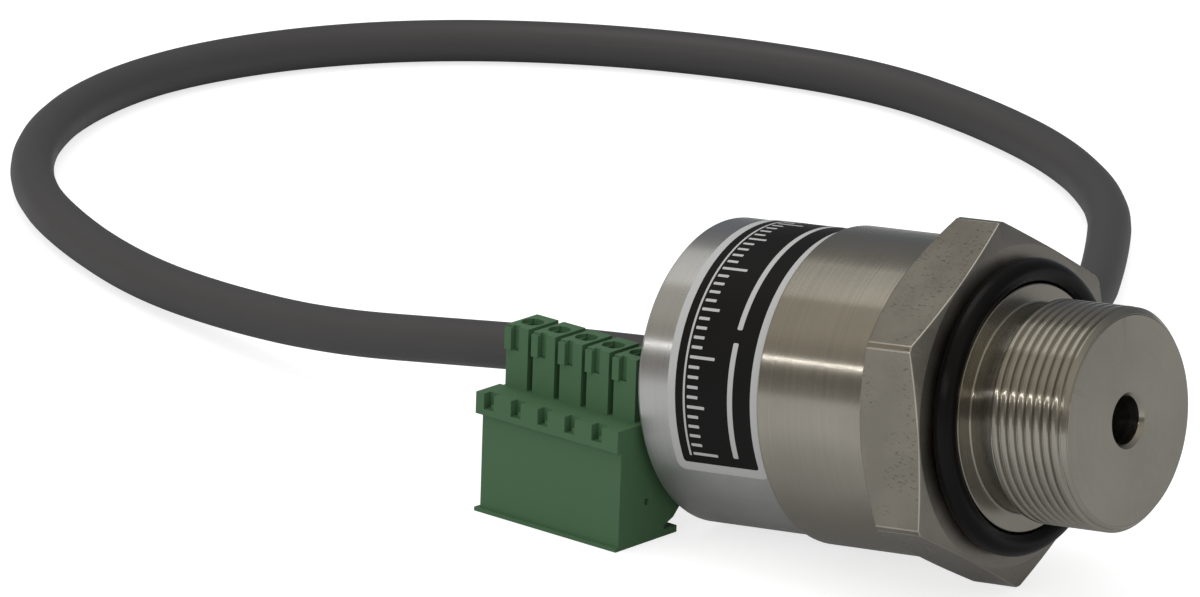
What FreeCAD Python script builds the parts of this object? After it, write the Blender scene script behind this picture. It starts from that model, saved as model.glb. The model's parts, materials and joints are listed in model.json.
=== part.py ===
import FreeCAD, Part
import math
import os
import Sketcher
from FreeCAD import Rotation, Vector

# Screw-in vacuum sensor with a moulded-on cable and a five-pole plug, in millimetres.
# The sensor lies as it comes to rest on a table: one hex corner and the rear rim touch the
# surface, so its axis rises towards the thread. The origin is on that surface, under the
# middle of the sensor. +X points along the axis towards the thread, +Z is up.

# Driving sizes
# Each line: name in the sheet, value. Stations along the axis are counted from the front
# face of the hexagon, forwards to the thread and backwards to the cable.
SIZES = [
    # Fitting: thread, collar, hexagon and skirt, turned from one bar
    ("thread_radius", 11.0),
    ("thread_length", 8.6),
    ("thread_end_chamfer", 0.7),
    ("relief_radius", 10.25),
    ("relief_length", 2.9),
    ("collar_radius", 12.2),
    ("collar_length", 1.9),
    ("edge_break", 0.2),
    ("bore_radius", 2.4),
    ("bore_mouth_chamfer", 0.4),
    ("across_flats", 32.0),
    ("hex_corner_radius", 18.3),
    ("hex_face_radius", 15.85),
    ("hex_front_chamfer", 0.55),
    ("hex_rear_chamfer", 1.4),
    ("hex_length", 7.1),
    ("skirt_radius", 15.8),
    ("skirt_length", 12.5),
    ("skirt_wall", 1.51),
    ("socket_depth", 6.0),
    ("cavity_depth", 4.0),
    ("pocket_radius", 9.6),
    ("pocket_depth", 8.0),
    ("gas_chamber_radius", 6.8),
    ("gas_chamber_depth", 0.5),
    # Sealing ring round the collar
    ("ring_section_radius", 1.2),
    # Pressure cell behind the bore
    ("cell_clearance", 0.1),
    ("cell_length", 4.7),
    ("cell_nose_radius", 7.2),
    ("cell_seal_section_radius", 0.65),
    ("seal_clearance", 0.02),
    ("nose_clearance", 0.15),
    ("cup_radius", 5.6),
    ("cup_depth", 1.2),
    ("diaphragm_radius", 6.5),
    ("diaphragm_thickness", 0.12),
    ("spacer_inner_radius", 4.5),
    ("spacer_thickness", 0.7),
    ("die_width", 2.2),
    ("die_thickness", 0.35),
    ("pedestal_width", 2.6),
    ("pedestal_thickness", 0.5),
    ("pin_radius", 0.25),
    ("pin_circle_radius", 3.6),
    ("glass_seal_radius", 0.7),
    ("fill_ball_radius", 0.6),
    ("fill_hole_radius", 0.4),
    ("clamp_ring_length", 2.0),
    ("clamp_ring_inner_radius", 7.2),
    # Rear housing
    ("housing_step", 0.6),
    ("housing_length", 15.2),
    ("spigot_length", 5.6),
    ("spigot_clearance", 0.04),
    ("spigot_wall", 1.25),
    ("rim_chamfer", 0.5),
    ("rear_seat_step", 0.9),
    ("rear_seat_depth", 4.0),
    ("circlip_groove_depth", 0.6),
    ("circlip_thickness", 0.9),
    ("circlip_width", 1.9),
    ("circlip_gap", 5.0),
    # Label round the rear housing
    ("label_thickness", 0.1),
    ("label_width", 11.0),
    ("label_angle", 170.0),
    ("label_low_edge", 115.0),
    # Rear cover and cable gland
    ("cover_plate", 2.4),
    ("gland_boss_radius", 5.0),
    ("gland_boss_length", 4.8),
    ("bush_radius", 3.7),
    ("bush_length", 4.0),
    ("gland_nut_flats", 11.0),
    ("gland_nut_length", 4.4),
    ("gland_nut_end", 1.6),
    # Circuit boards
    ("board_margin", 2.0),
    ("cell_board_thickness", 1.0),
    ("cell_board_gap", 1.8),
    ("main_board_length", 17.0),
    ("main_board_thickness", 1.2),
    ("main_board_drop", 3.2),
    ("carrier_length", 3.0),
    ("carrier_wall", 2.4),
    ("chip_margin", 0.4),
    ("chip_length", 4.4),
    ("chip_width", 5.0),
    ("chip_height", 1.4),
    ("trim_length", 3.4),
    ("trim_width", 2.0),
    ("trim_height", 2.2),
    ("capacitor_length", 1.1),
    ("capacitor_width", 0.7),
    ("capacitor_height", 0.6),
    ("capacitor_pitch", 1.1),
    ("carrier_clearance", 0.05),
    ("slot_clearance", 0.05),
    ("link_pin_side", 0.5),
    ("link_pin_pitch", 2.0),
    ("link_pin_reach", 2.2),
    ("terminal_length", 3.2),
    ("terminal_height", 3.4),
    ("terminal_pitch", 1.7),
    ("terminal_setback", 11.2),
    # Cable
    ("cable_radius", 2.4),
    ("cable_clearance", 0.03),
    ("cable_inside", 4.2),
    ("crimp_length", 1.3),
    ("crimp_wall", 0.75),
    ("wire_radius", 0.62),
    ("wire_lay_radius", 1.3),
    ("wire_fan", 16.8),
    # Plug: placed on the same surface as the sensor
    ("plug_clearance", 0.1),
    ("plug_side", 15.9),
    ("plug_yaw", -3.0),
    ("pole_pitch", 3.5),
    ("first_pole_inset", 1.65),
    ("plug_width", 18.0),
    ("plug_depth", 9.4),
    ("body_height", 10.1),
    ("ledge_height", 2.4),
    ("ledge_overhang", 0.6),
    ("tower_front", 3.0),
    ("tower_depth", 4.6),
    ("tower_height", 6.4),
    ("tower_gap", 0.7),
    ("foot_height", 0.7),
    ("ledge_slope", 0.15),
    ("back_bevel", 1.0),
    ("undercut_depth", 2.4),
    ("foot_lip", 0.4),
    ("foot_lip_height", 0.4),
    ("end_lip", 0.45),
    ("socket_width", 1.5),
    ("socket_thickness", 2.0),
    ("dish_radius", 1.12),
    ("dish_depth", 0.4),
    ("key_width", 1.3),
    ("key_height", 1.6),
    ("key_depth", 1.0),
    ("key_step_width", 0.6),
    ("key_step_height", 0.5),
    ("key_step_setback", 0.35),
    ("tab_width", 0.85),
    ("tab_depth", 0.35),
    ("tab_height", 2.3),
    ("tab_setback", 0.2),
    ("recess_width", 0.75),
    ("recess_height", 2.5),
    ("recess_depth", 0.35),
    ("side_pit_radius", 0.35),
    ("side_pit_depth", 0.4),
    ("wire_hole_radius", 1.25),
    ("wire_height", 5.0),
    ("screw_head_radius", 1.2),
    ("screw_head_length", 1.3),
    ("screw_shank_radius", 0.75),
    ("screw_setback", 0.6),
    ("cage_width", 2.4),
    ("cage_depth", 4.2),
    ("cage_height", 4.2),
    ("cage_wall", 0.4),
    ("chamber_clearance", 0.08),
    ("contact_thickness", 0.3),
    ("contact_width", 1.1),
    ("ferrule_radius", 0.8),
    ("ferrule_length", 5.6),
]

document = FreeCAD.newDocument("vacuum_sensor")
sheet = document.addObject("Spreadsheet::Sheet", "Sizes")
for row, (name, value) in enumerate(SIZES, start=1):
    sheet.set("A%d" % row, name)
    sheet.set("B%d" % row, str(value))
    sheet.setAlias("B%d" % row, name)
document.recompute()


class Size:
    """A length, ratio or angle that knows its value and the formula that gives it in the sheet."""

    def __init__(self, value, formula):
        self.value = float(value)
        self.formula = formula

    def __add__(self, other):
        other = as_size(other)
        return Size(self.value + other.value, "(%s + %s)" % (self.formula, other.formula))

    def __sub__(self, other):
        other = as_size(other)
        return Size(self.value - other.value, "(%s - %s)" % (self.formula, other.formula))

    def __mul__(self, other):
        other = as_size(other)
        return Size(self.value * other.value, "(%s * %s)" % (self.formula, other.formula))

    def __truediv__(self, other):
        other = as_size(other)
        return Size(self.value / other.value, "(%s / %s)" % (self.formula, other.formula))

    def __radd__(self, other):
        return as_size(other) + self

    def __rsub__(self, other):
        return as_size(other) - self

    def __rmul__(self, other):
        return as_size(other) * self

    def __neg__(self):
        return Size(-self.value, "(-1 * %s)" % self.formula)


def as_size(number):
    """A plain number as a Size, so that numbers and sizes can be added."""
    return number if isinstance(number, Size) else Size(number, "%s" % float(number))


def arctangent(ratio):
    return Size(math.degrees(math.atan(ratio.value)), "atan(%s)" % ratio.formula)


def sine(angle):
    return Size(math.sin(math.radians(angle.value)), "sin(%s)" % angle.formula)


def cosine(angle):
    return Size(math.cos(math.radians(angle.value)), "cos(%s)" % angle.formula)


def tangent(angle):
    return Size(math.tan(math.radians(angle.value)), "tan(%s)" % angle.formula)


class Sheet:
    """The sheet's values by name, each with the formula that names its cell."""

    def __getattr__(self, name):
        return Size(getattr(sheet, name), "Sizes.%s" % name)


s = Sheet()
ZERO = as_size(0)
POLES = 5

# Radii that follow the skirt, from the outside in
socket_radius = s.skirt_radius - s.skirt_wall
spigot_radius = socket_radius - s.spigot_clearance
cavity_radius = spigot_radius - s.spigot_wall
cell_radius = s.pocket_radius - s.cell_clearance
housing_radius = s.skirt_radius - s.housing_step
rear_seat_radius = cavity_radius + s.rear_seat_step
groove_radius = rear_seat_radius + s.circlip_groove_depth
board_radius = cavity_radius - s.board_margin

# Stations along the axis, from the front face of the hexagon
thread_start = s.collar_length + s.relief_length
end_face = thread_start + s.thread_length
hex_rear = -s.hex_length
skirt_end = hex_rear - s.skirt_length
socket_floor = skirt_end + s.socket_depth
pocket_mouth = socket_floor + s.cavity_depth
pocket_floor = pocket_mouth + s.pocket_depth
chamber_floor = pocket_floor + s.gas_chamber_depth
rear_face = skirt_end - s.housing_length
cover_seat = rear_face + s.rear_seat_depth
cover_back = cover_seat - s.cover_plate
boss_end = cover_back - s.gland_boss_length
nut_end = boss_end - s.edge_break - s.gland_nut_end
housing_front = skirt_end + s.spigot_length

# The rest: the sensor lies on the rear end of one hexagon edge and on the rear rim
corner_station = -(s.hex_length - s.hex_rear_chamfer)
rim_station = rear_face + s.rim_chamfer
REST_TILT = arctangent((s.hex_corner_radius - housing_radius) / (corner_station - rim_station))
axis_height = s.hex_corner_radius * cosine(REST_TILT) - corner_station * sine(REST_TILT)
nut_corner = s.gland_nut_flats / math.sqrt(3)
front_reach = end_face * cosine(REST_TILT) + (s.thread_radius - s.thread_end_chamfer) * sine(REST_TILT)
rear_reach = nut_end * cosine(REST_TILT) - nut_corner * sine(REST_TILT)
sensor_shift = -(front_reach + rear_reach) / 2

parts = []


def bind(thing, path, size):
    """Set one property of an object from the sheet."""
    thing.setExpression(path, size.formula)


def place(thing, x, y, z):
    """Put an object at a point, bound to the sheet."""
    thing.Placement.Base = Vector(x.value, y.value, z.value)
    bind(thing, "Placement.Base.x", x)
    bind(thing, "Placement.Base.y", y)
    bind(thing, "Placement.Base.z", z)


def keep(thing, node):
    """Name a finished piece and list it for export."""
    thing.Label = node
    parts.append(thing)
    return thing


def on_sensor(thing, node):
    """Finish a piece that was modelled along the sensor's own axis: lay it in the resting pose."""
    thing.Placement = FreeCAD.Placement(Vector(), Rotation(Vector(0, 1, 0), -REST_TILT.value))
    bind(thing, "Placement.Rotation.Angle", -REST_TILT)
    place(thing, sensor_shift, ZERO, axis_height)
    return keep(thing, node)


def sketch_outline(body, plane_role, points, name):
    """A closed outline of straight lines, each corner bound to the sheet in both directions."""
    sketch = body.newObject("Sketcher::SketchObject", name)
    plane = [feature for feature in body.Origin.OriginFeatures if feature.Role == plane_role][0]
    sketch.AttachmentSupport = (plane, [""])
    sketch.MapMode = "FlatFace"
    corners = [(as_size(across), as_size(up)) for across, up in points]
    count = len(corners)
    for index in range(count):
        start = corners[index]
        end = corners[(index + 1) % count]
        sketch.addGeometry(
            Part.LineSegment(
                Vector(start[0].value, start[1].value, 0),
                Vector(end[0].value, end[1].value, 0),
            ),
            False,
        )
    for index in range(count):
        sketch.addConstraint(Sketcher.Constraint("Coincident", index, 2, (index + 1) % count, 1))
    for index, corner in enumerate(corners):
        for kind, size in (("DistanceX", corner[0]), ("DistanceY", corner[1])):
            number = sketch.addConstraint(Sketcher.Constraint(kind, -1, 1, index, 1, size.value))
            bind(sketch, "Constraints[%d]" % number, size)
    return sketch


def turned(name, outline, angle=360.0):
    """A body turned about the X axis from an outline of (station, radius) corners."""
    body = document.addObject("PartDesign::Body", name)
    sketch = sketch_outline(body, "XZ_Plane", outline, name + "_outline")
    feature = body.newObject("PartDesign::Revolution", name + "_turn")
    feature.Profile = sketch
    feature.ReferenceAxis = (sketch, ["H_Axis"])
    feature.Angle = angle
    return body


def ring_outline(rear, front, inner, outer):
    """The outline of a plain ring or tube."""
    return [(rear, inner), (front, inner), (front, outer), (rear, outer)]


def rod(name, start, length, radius, y=ZERO, z=ZERO):
    """A cylinder along X from a station."""
    thing = document.addObject("Part::Cylinder", name)
    bind(thing, "Radius", as_size(radius))
    bind(thing, "Height", as_size(length))
    thing.Placement.Rotation = Rotation(Vector(0, 1, 0), 90)
    place(thing, as_size(start), as_size(y), as_size(z))
    return thing


def block(name, corner, edges):
    """A box from its lowest corner and its three edges."""
    thing = document.addObject("Part::Box", name)
    for path, size in zip(("Length", "Width", "Height"), edges):
        bind(thing, path, as_size(size))
    place(thing, *[as_size(value) for value in corner])
    return thing


def cylinder_along(name, direction, radius, length, base):
    """A cylinder along Y or Z, for holes, screws and pins."""
    thing = document.addObject("Part::Cylinder", name)
    bind(thing, "Radius", as_size(radius))
    bind(thing, "Height", as_size(length))
    if direction == "Y":
        thing.Placement.Rotation = Rotation(Vector(1, 0, 0), -90)
    place(thing, *[as_size(value) for value in base])
    return thing


def joined(name, things):
    thing = document.addObject("Part::MultiFuse", name)
    thing.Shapes = things
    return thing


def cut_away(name, base, tools):
    """A piece with one or more tools cut out of it."""
    thing = document.addObject("Part::Cut", name)
    thing.Base = base
    thing.Tool = tools[0] if len(tools) == 1 else joined(name + "_tools", tools)
    return thing


def group(name, things):
    """Like pieces in one node, each a solid of its own."""
    thing = document.addObject("Part::Compound", name)
    thing.Links = things
    return thing


def swept(points, radius):
    """A round tube along straight runs joined by tangent arcs, as large as the runs allow."""
    edges = []
    radii = []
    last = points[0]
    for index in range(1, len(points) - 1):
        corner = points[index]
        into = corner - points[index - 1]
        away = points[index + 1] - corner
        turn = into.getAngle(away)
        reach = 0.45 * min(into.Length, away.Length)
        radii.append(reach / math.tan(turn / 2))
        into.normalize()
        away.normalize()
        arc_start = corner - into * reach
        arc_end = corner + away * reach
        bisector = away - into
        bisector.normalize()
        depth = radii[-1] / math.cos(turn / 2) - radii[-1]
        edges.append(Part.LineSegment(last, arc_start).toShape())
        edges.append(Part.Arc(arc_start, corner + bisector * depth, arc_end).toShape())
        last = arc_end
    edges.append(Part.LineSegment(last, points[-1]).toShape())
    path = Part.Wire(edges)
    section = Part.Wire([Part.Circle(points[0], points[1] - points[0], radius).toShape()])
    tube = path.makePipeShell([section], True, False)
    return tube, path.Length, radii


def seal_ring(name, station, ring_radius, section_radius):
    """A torus about the X axis."""
    thing = document.addObject("Part::Torus", name)
    bind(thing, "Radius1", ring_radius)
    bind(thing, "Radius2", section_radius)
    thing.Placement.Rotation = Rotation(Vector(0, 1, 0), 90)
    place(thing, station, ZERO, ZERO)
    return thing


def wrapped(name, thing):
    """A piece that has a placement of its own inside a group, so that the group can be laid down."""
    return group(name, [thing])


# Fitting
def make_fitting():
    """Thread, relief, collar, hexagon and skirt in one piece, bored for the gas and the cell."""
    blank = turned("fitting_blank", [
        (chamber_floor, s.bore_radius),
        (end_face - s.bore_mouth_chamfer, s.bore_radius),
        (end_face, s.bore_radius + s.bore_mouth_chamfer),
        (end_face, s.thread_radius - s.thread_end_chamfer),
        (end_face - s.thread_end_chamfer, s.thread_radius),
        (thread_start, s.thread_radius),
        (thread_start, s.relief_radius),
        (s.collar_length, s.relief_radius),
        (s.collar_length, s.collar_radius - s.edge_break),
        (s.collar_length - s.edge_break, s.collar_radius),
        (ZERO, s.collar_radius),
        (ZERO, s.hex_face_radius),
        (-s.hex_front_chamfer, s.hex_corner_radius),
        (corner_station, s.hex_corner_radius),
        (hex_rear, s.skirt_radius),
        (skirt_end + s.edge_break, s.skirt_radius),
        (skirt_end, s.skirt_radius - s.edge_break),
        (skirt_end, socket_radius),
        (socket_floor, socket_radius),
        (socket_floor, cavity_radius),
        (pocket_mouth, cavity_radius),
        (pocket_mouth, s.pocket_radius),
        (pocket_floor, s.pocket_radius),
        (pocket_floor, s.gas_chamber_radius),
        (chamber_floor, s.gas_chamber_radius),
    ])
    sleeve = rod("hex_sleeve", hex_rear, s.hex_length, s.hex_corner_radius + s.edge_break)
    prism = document.addObject("Part::Prism", "hex_prism")
    prism.Polygon = 6
    bind(prism, "Circumradius", s.across_flats / math.sqrt(3))
    bind(prism, "Height", s.hex_length)
    prism.Placement.Rotation = Rotation(Vector(0, 1, 0), 90)
    place(prism, hex_rear, ZERO, ZERO)
    flats = cut_away("hex_flats", sleeve, [prism])
    on_sensor(cut_away("fitting_cut", blank, [flats]), "fitting")


make_fitting()

# The ring lies round the collar and against the hexagon
on_sensor(
    wrapped("sealing_ring_lay", seal_ring(
        "sealing_ring_body",
        s.ring_section_radius + s.seal_clearance,
        s.collar_radius + s.ring_section_radius + s.seal_clearance,
        s.ring_section_radius,
    )),
    "sealing_ring",
)

# Pressure cell
cell_front = pocket_floor - 2 * (s.cell_seal_section_radius + s.seal_clearance)
cell_rear = cell_front - s.cell_length
nose_front = pocket_floor - s.nose_clearance
cup_floor = nose_front - s.cup_depth
pin_rear = pocket_mouth - s.cell_board_gap - s.cell_board_thickness
fill_offset = s.spacer_inner_radius + s.fill_hole_radius - 0.4


def pin_place(index):
    """One pin's place on the pin circle."""
    angle = math.radians(90 + index * 360 / POLES)
    return s.pin_circle_radius * math.cos(angle), s.pin_circle_radius * math.sin(angle)


def make_cell():
    """Header with its diaphragm, die, pins and seals."""
    header = turned("cell_header_blank", [
        (cell_rear, ZERO),
        (cup_floor, ZERO),
        (cup_floor, s.cup_radius),
        (nose_front, s.cup_radius),
        (nose_front, s.cell_nose_radius),
        (cell_front, s.cell_nose_radius),
        (cell_front, cell_radius),
        (cell_rear, cell_radius),
    ])
    floor_length = cup_floor - cell_rear
    holes = []
    for index in range(POLES):
        y, z = pin_place(index)
        holes.append(rod("pin_hole_%d" % index, cell_rear, floor_length, s.glass_seal_radius, y, z))
    holes.append(rod("fill_hole", cell_rear, floor_length, s.fill_hole_radius, ZERO, -fill_offset))
    holes.append(rod("ball_seat", cell_rear, 2 * s.fill_ball_radius, s.fill_ball_radius, ZERO, -fill_offset))
    on_sensor(cut_away("cell_header_cut", header, holes), "cell_header")

    pins = []
    seals = []
    for index in range(POLES):
        y, z = pin_place(index)
        pin_start = cup_floor + 0.3
        pins.append(rod("pin_%d" % index, pin_rear, pin_start - pin_rear, s.pin_radius, y, z))
        bead = rod("bead_%d" % index, cell_rear, floor_length, s.glass_seal_radius, y, z)
        core = rod("bead_hole_%d" % index, cell_rear, floor_length, s.pin_radius, y, z)
        seals.append(cut_away("glass_%d" % index, bead, [core]))
    on_sensor(group("header_pins_group", pins), "header_pins")
    on_sensor(group("pin_glass_group", seals), "pin_glass_seals")

    ball = document.addObject("Part::Sphere", "fill_ball_body")
    bind(ball, "Radius", s.fill_ball_radius)
    place(ball, cell_rear + s.fill_ball_radius, ZERO, -fill_offset)
    on_sensor(wrapped("fill_ball_lay", ball), "fill_ball")

    on_sensor(turned("diaphragm_body", [
        (nose_front, ZERO),
        (nose_front + s.diaphragm_thickness, ZERO),
        (nose_front + s.diaphragm_thickness, s.diaphragm_radius),
        (nose_front, s.diaphragm_radius),
    ]), "isolating_diaphragm")
    on_sensor(turned("spacer_body", ring_outline(
        cup_floor, cup_floor + s.spacer_thickness, s.spacer_inner_radius, s.cup_radius - s.slot_clearance,
    )), "ceramic_spacer")
    half = s.pedestal_width / 2
    on_sensor(
        wrapped("pedestal_lay", block("pedestal_body", (cup_floor, -half, -half),
                                      (s.pedestal_thickness, s.pedestal_width, s.pedestal_width))),
        "glass_pedestal",
    )
    half = s.die_width / 2
    on_sensor(
        wrapped("die_lay", block("die_body", (cup_floor + s.pedestal_thickness, -half, -half),
                                 (s.die_thickness, s.die_width, s.die_width))),
        "sensing_die",
    )
    on_sensor(
        wrapped("cell_seal_lay", seal_ring(
            "cell_seal_body",
            pocket_floor - s.cell_seal_section_radius - s.seal_clearance,
            s.cell_nose_radius + s.cell_seal_section_radius + s.slot_clearance,
            s.cell_seal_section_radius,
        )),
        "cell_seal",
    )
    ring_rear = cell_rear - s.clamp_ring_length
    ring = turned("clamp_ring_body", ring_outline(
        ring_rear, cell_rear, s.clamp_ring_inner_radius, s.pocket_radius - s.slot_clearance,
    ))
    spanner_holes = []
    for side in (-1, 1):
        offset = side * (s.clamp_ring_inner_radius + s.pocket_radius) / 2
        spanner_holes.append(rod("spanner_hole_%d" % side, cell_rear - s.clamp_ring_length,
                                 s.clamp_ring_length / 2, 0.6, offset, ZERO))
    on_sensor(cut_away("clamp_ring_cut", ring, spanner_holes), "cell_clamp_ring")


make_cell()

# Rear housing with its spigot in the skirt
groove_front = cover_back
groove_rear = cover_back - s.circlip_thickness - s.slot_clearance
on_sensor(turned("housing_body", [
    (rear_face, rear_seat_radius),
    (groove_rear, rear_seat_radius),
    (groove_rear, groove_radius),
    (groove_front, groove_radius),
    (groove_front, rear_seat_radius),
    (cover_seat, rear_seat_radius),
    (cover_seat, cavity_radius),
    (housing_front, cavity_radius),
    (housing_front, spigot_radius),
    (skirt_end, spigot_radius),
    (skirt_end, housing_radius),
    (rear_face + s.rim_chamfer, housing_radius),
    (rear_face, housing_radius - s.rim_chamfer),
]), "rear_housing")


def make_label():
    """A thin band round most of the camera side and the top of the rear housing."""
    start = skirt_end - s.edge_break - s.label_width
    outer = rod("label_outer", start, s.label_width, housing_radius + s.label_thickness)
    inner = rod("label_inner", start, s.label_width, housing_radius)
    bind(outer, "Angle", s.label_angle)
    band = cut_away("label_band", outer, [inner])
    turn = document.addObject("Part::Compound", "label_turn")
    turn.Links = [band]
    # A cylinder lying along X starts its sector at -Z; the band's lower edge is on the -Y side
    turn.Placement.Rotation = Rotation(Vector(1, 0, 0), 360 - s.label_low_edge.value)
    turn.setExpression("Placement.Rotation.Angle", (as_size(360) - s.label_low_edge).formula)
    on_sensor(wrapped("label_lay", turn), "label")


make_label()

# Rear cover, its circlip and the cable gland
bush_front = boss_end + s.bush_length
cover_outline = [
    (cover_seat, s.cable_radius + s.cable_clearance),
    (cover_seat, rear_seat_radius - s.slot_clearance),
    (cover_back, rear_seat_radius - s.slot_clearance),
    (cover_back, s.gland_boss_radius),
    (boss_end, s.gland_boss_radius),
    (boss_end, s.bush_radius),
    (bush_front, s.bush_radius),
    (bush_front, s.cable_radius + s.cable_clearance),
]
on_sensor(turned("cover_body", cover_outline), "rear_cover")
circlip = turned("circlip_body", ring_outline(
    cover_back - s.circlip_thickness,
    cover_back,
    groove_radius - s.slot_clearance - s.circlip_width,
    groove_radius - s.slot_clearance,
))
circlip_gap = block(
    "circlip_gap",
    (cover_back - 2 * s.circlip_thickness, -s.circlip_gap / 2, groove_radius - 2 * s.circlip_width),
    (3 * s.circlip_thickness, s.circlip_gap, 3 * s.circlip_width),
)
on_sensor(cut_away("circlip_cut", circlip, [circlip_gap]), "cover_circlip")
on_sensor(turned("bush_body", [
    (boss_end - s.edge_break, s.cable_radius + s.cable_clearance),
    (bush_front - s.edge_break, s.cable_radius + s.cable_clearance),
    (bush_front - s.edge_break, s.bush_radius - s.slot_clearance),
    (boss_end - s.edge_break, s.bush_radius - s.slot_clearance),
]), "gland_bush")


def make_gland_nut():
    """A hexagon cap nut with the cable's hole in its end."""
    prism = document.addObject("Part::Prism", "gland_nut_prism")
    prism.Polygon = 6
    bind(prism, "Circumradius", nut_corner)
    bind(prism, "Height", s.gland_nut_length)
    prism.Placement.Rotation = Rotation(Vector(0, 1, 0), 90)
    place(prism, nut_end, ZERO, ZERO)
    thread = rod("gland_nut_thread", nut_end + s.gland_nut_end, s.gland_nut_length,
                 s.gland_boss_radius + s.slot_clearance)
    hole = rod("gland_nut_hole", nut_end - 1, s.gland_nut_length, s.cable_radius + 3 * s.cable_clearance)
    on_sensor(cut_away("gland_nut_cut", prism, [thread, hole]), "gland_nut")


make_gland_nut()

# Circuit boards and what is on them
board_front = pocket_mouth - s.cell_board_gap
board_rear = board_front - s.cell_board_thickness
main_front = board_rear
main_rear = main_front - s.main_board_length
main_top = -s.main_board_drop
main_bottom = main_top - s.main_board_thickness


def make_boards():
    """Round board on the cell's pins, long board behind it in the carrier's slots."""
    round_board = turned("cell_board_body", [
        (board_rear, ZERO),
        (board_front, ZERO),
        (board_front, board_radius),
        (board_rear, board_radius),
    ])
    pin_holes = []
    for index in range(POLES):
        y, z = pin_place(index)
        pin_holes.append(rod("board_hole_%d" % index, board_rear, s.cell_board_thickness, s.pin_radius, y, z))
    on_sensor(cut_away("cell_board_cut", round_board, pin_holes), "cell_board")

    half = board_radius
    on_sensor(
        wrapped("main_board_lay", block("main_board_body", (main_rear, -half, main_bottom),
                                        (s.main_board_length, (2 * board_radius), s.main_board_thickness))),
        "amplifier_board",
    )
    carrier = turned("carrier_body", ring_outline(
        cover_seat, cover_seat + s.carrier_length,
        cavity_radius - s.carrier_wall, cavity_radius - s.carrier_clearance,
    ))
    slot = block(
        "carrier_slot",
        (main_rear - s.slot_clearance, -half - s.slot_clearance, main_bottom - s.slot_clearance),
        (s.main_board_length, (2 * board_radius) + 2 * s.slot_clearance,
         s.main_board_thickness + 2 * s.slot_clearance),
    )
    on_sensor(cut_away("carrier_cut", carrier, [slot]), "board_carrier")

    links = []
    for index in range(POLES):
        y = (index - 2) * s.link_pin_pitch - s.link_pin_side / 2
        low = main_top
        flat = block("link_flat_%d" % index, (main_front - s.link_pin_reach, y, low),
                     (s.link_pin_reach, s.link_pin_side, s.link_pin_side))
        post = block("link_post_%d" % index, (main_front - s.link_pin_side, y, low),
                     (s.link_pin_side, s.link_pin_side, s.link_pin_reach))
        links.append(joined("link_%d" % index, [flat, post]))
    on_sensor(group("board_links_group", links), "board_link_pins")

    chip = (s.chip_length, s.chip_width, s.chip_height)
    chip_rear = main_rear + s.main_board_length / 2
    chips = [
        block("chip_0", (chip_rear, s.chip_margin - half, main_top), chip),
        block("chip_1", (chip_rear, half - s.chip_margin - s.chip_width, main_top), chip),
        block("chip_2", (chip_rear - s.chip_length, -s.chip_width / 2, main_bottom - s.chip_height), chip),
    ]
    on_sensor(group("chips_group", chips), "amplifier_chips")
    small = []
    for index in range(6):
        station = chip_rear - (2 + index % 2) * (s.capacitor_length + s.chip_margin)
        side = s.chip_margin - half + index * s.capacitor_pitch
        small.append(block("capacitor_%d" % index, (station, side, main_top),
                           (s.capacitor_length, s.capacitor_width, s.capacitor_height)))
    on_sensor(group("capacitors_group", small), "board_capacitors")
    trims = []
    for index in range(2):
        side = half - (index + 1) * (s.chip_margin + s.trim_width)
        trims.append(block("trim_%d" % index, (chip_rear - s.chip_margin - s.trim_length, side, main_top),
                           (s.trim_length, s.trim_width, s.trim_height)))
    on_sensor(group("trims_group", trims), "trim_resistors")


make_boards()

terminal_front = main_rear + s.terminal_setback + s.terminal_length
terminal_rear = main_rear + s.terminal_setback
terminal_level = main_top + s.terminal_height / 2


def terminal_y(index):
    return (index - (POLES - 1) / 2) * s.terminal_pitch


def make_terminal():
    """The socket on the board that the cable's five wires end in."""
    width = POLES * s.terminal_pitch + 1.0
    body = block("terminal_body", (terminal_rear, -width / 2, main_top),
                 (s.terminal_length, width, s.terminal_height))
    holes = []
    for index in range(POLES):
        holes.append(rod("terminal_hole_%d" % index, terminal_rear, s.terminal_length / 2,
                         s.wire_radius + s.cable_clearance, terminal_y(index), terminal_level))
    on_sensor(cut_away("terminal_cut", body, holes), "board_terminal")


make_terminal()

# Crimp ring that keeps the cable from being pulled out of the cover
jacket_inner_end = cover_back + s.cable_inside
on_sensor(turned("crimp_body", ring_outline(
    cover_seat + s.edge_break, cover_seat + s.edge_break + s.crimp_length,
    s.cable_radius + s.cable_clearance, s.cable_radius + s.crimp_wall,
)), "cable_crimp")


def in_world(station, y=0.0, z=0.0):
    """A point of the sensor's own frame, at rest on the table."""
    laid = Rotation(Vector(0, 1, 0), -REST_TILT.value).multVec(Vector(station, y, z))
    return laid + Vector(sensor_shift.value, 0, axis_height.value)


# Plug, modelled with its own corner as origin: X along the row of poles, Y to its back
# Its back corner stands just clear of the sensor's rear face, at the height of its ledge
ledge_top = s.body_height + s.ledge_height
rear_centre_height = axis_height + rear_face * sine(REST_TILT)
rear_reach_at_ledge = rear_face * cosine(REST_TILT) + (rear_centre_height - ledge_top) * tangent(REST_TILT)
plug_reach = s.plug_width * cosine(s.plug_yaw) - s.plug_depth * sine(s.plug_yaw)
plug_x = sensor_shift + rear_reach_at_ledge - s.plug_clearance - plug_reach
plug_y = -s.plug_side
tower_top = ledge_top + s.tower_height
tower_back = s.tower_front + s.tower_depth


def on_plug(thing, node):
    """Finish a piece of the plug: turn and move it to the plug's place on the table."""
    thing.Placement = FreeCAD.Placement(Vector(), Rotation(Vector(0, 0, 1), s.plug_yaw.value))
    bind(thing, "Placement.Rotation.Angle", s.plug_yaw)
    place(thing, plug_x, plug_y, ZERO)
    return keep(thing, node)


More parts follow.
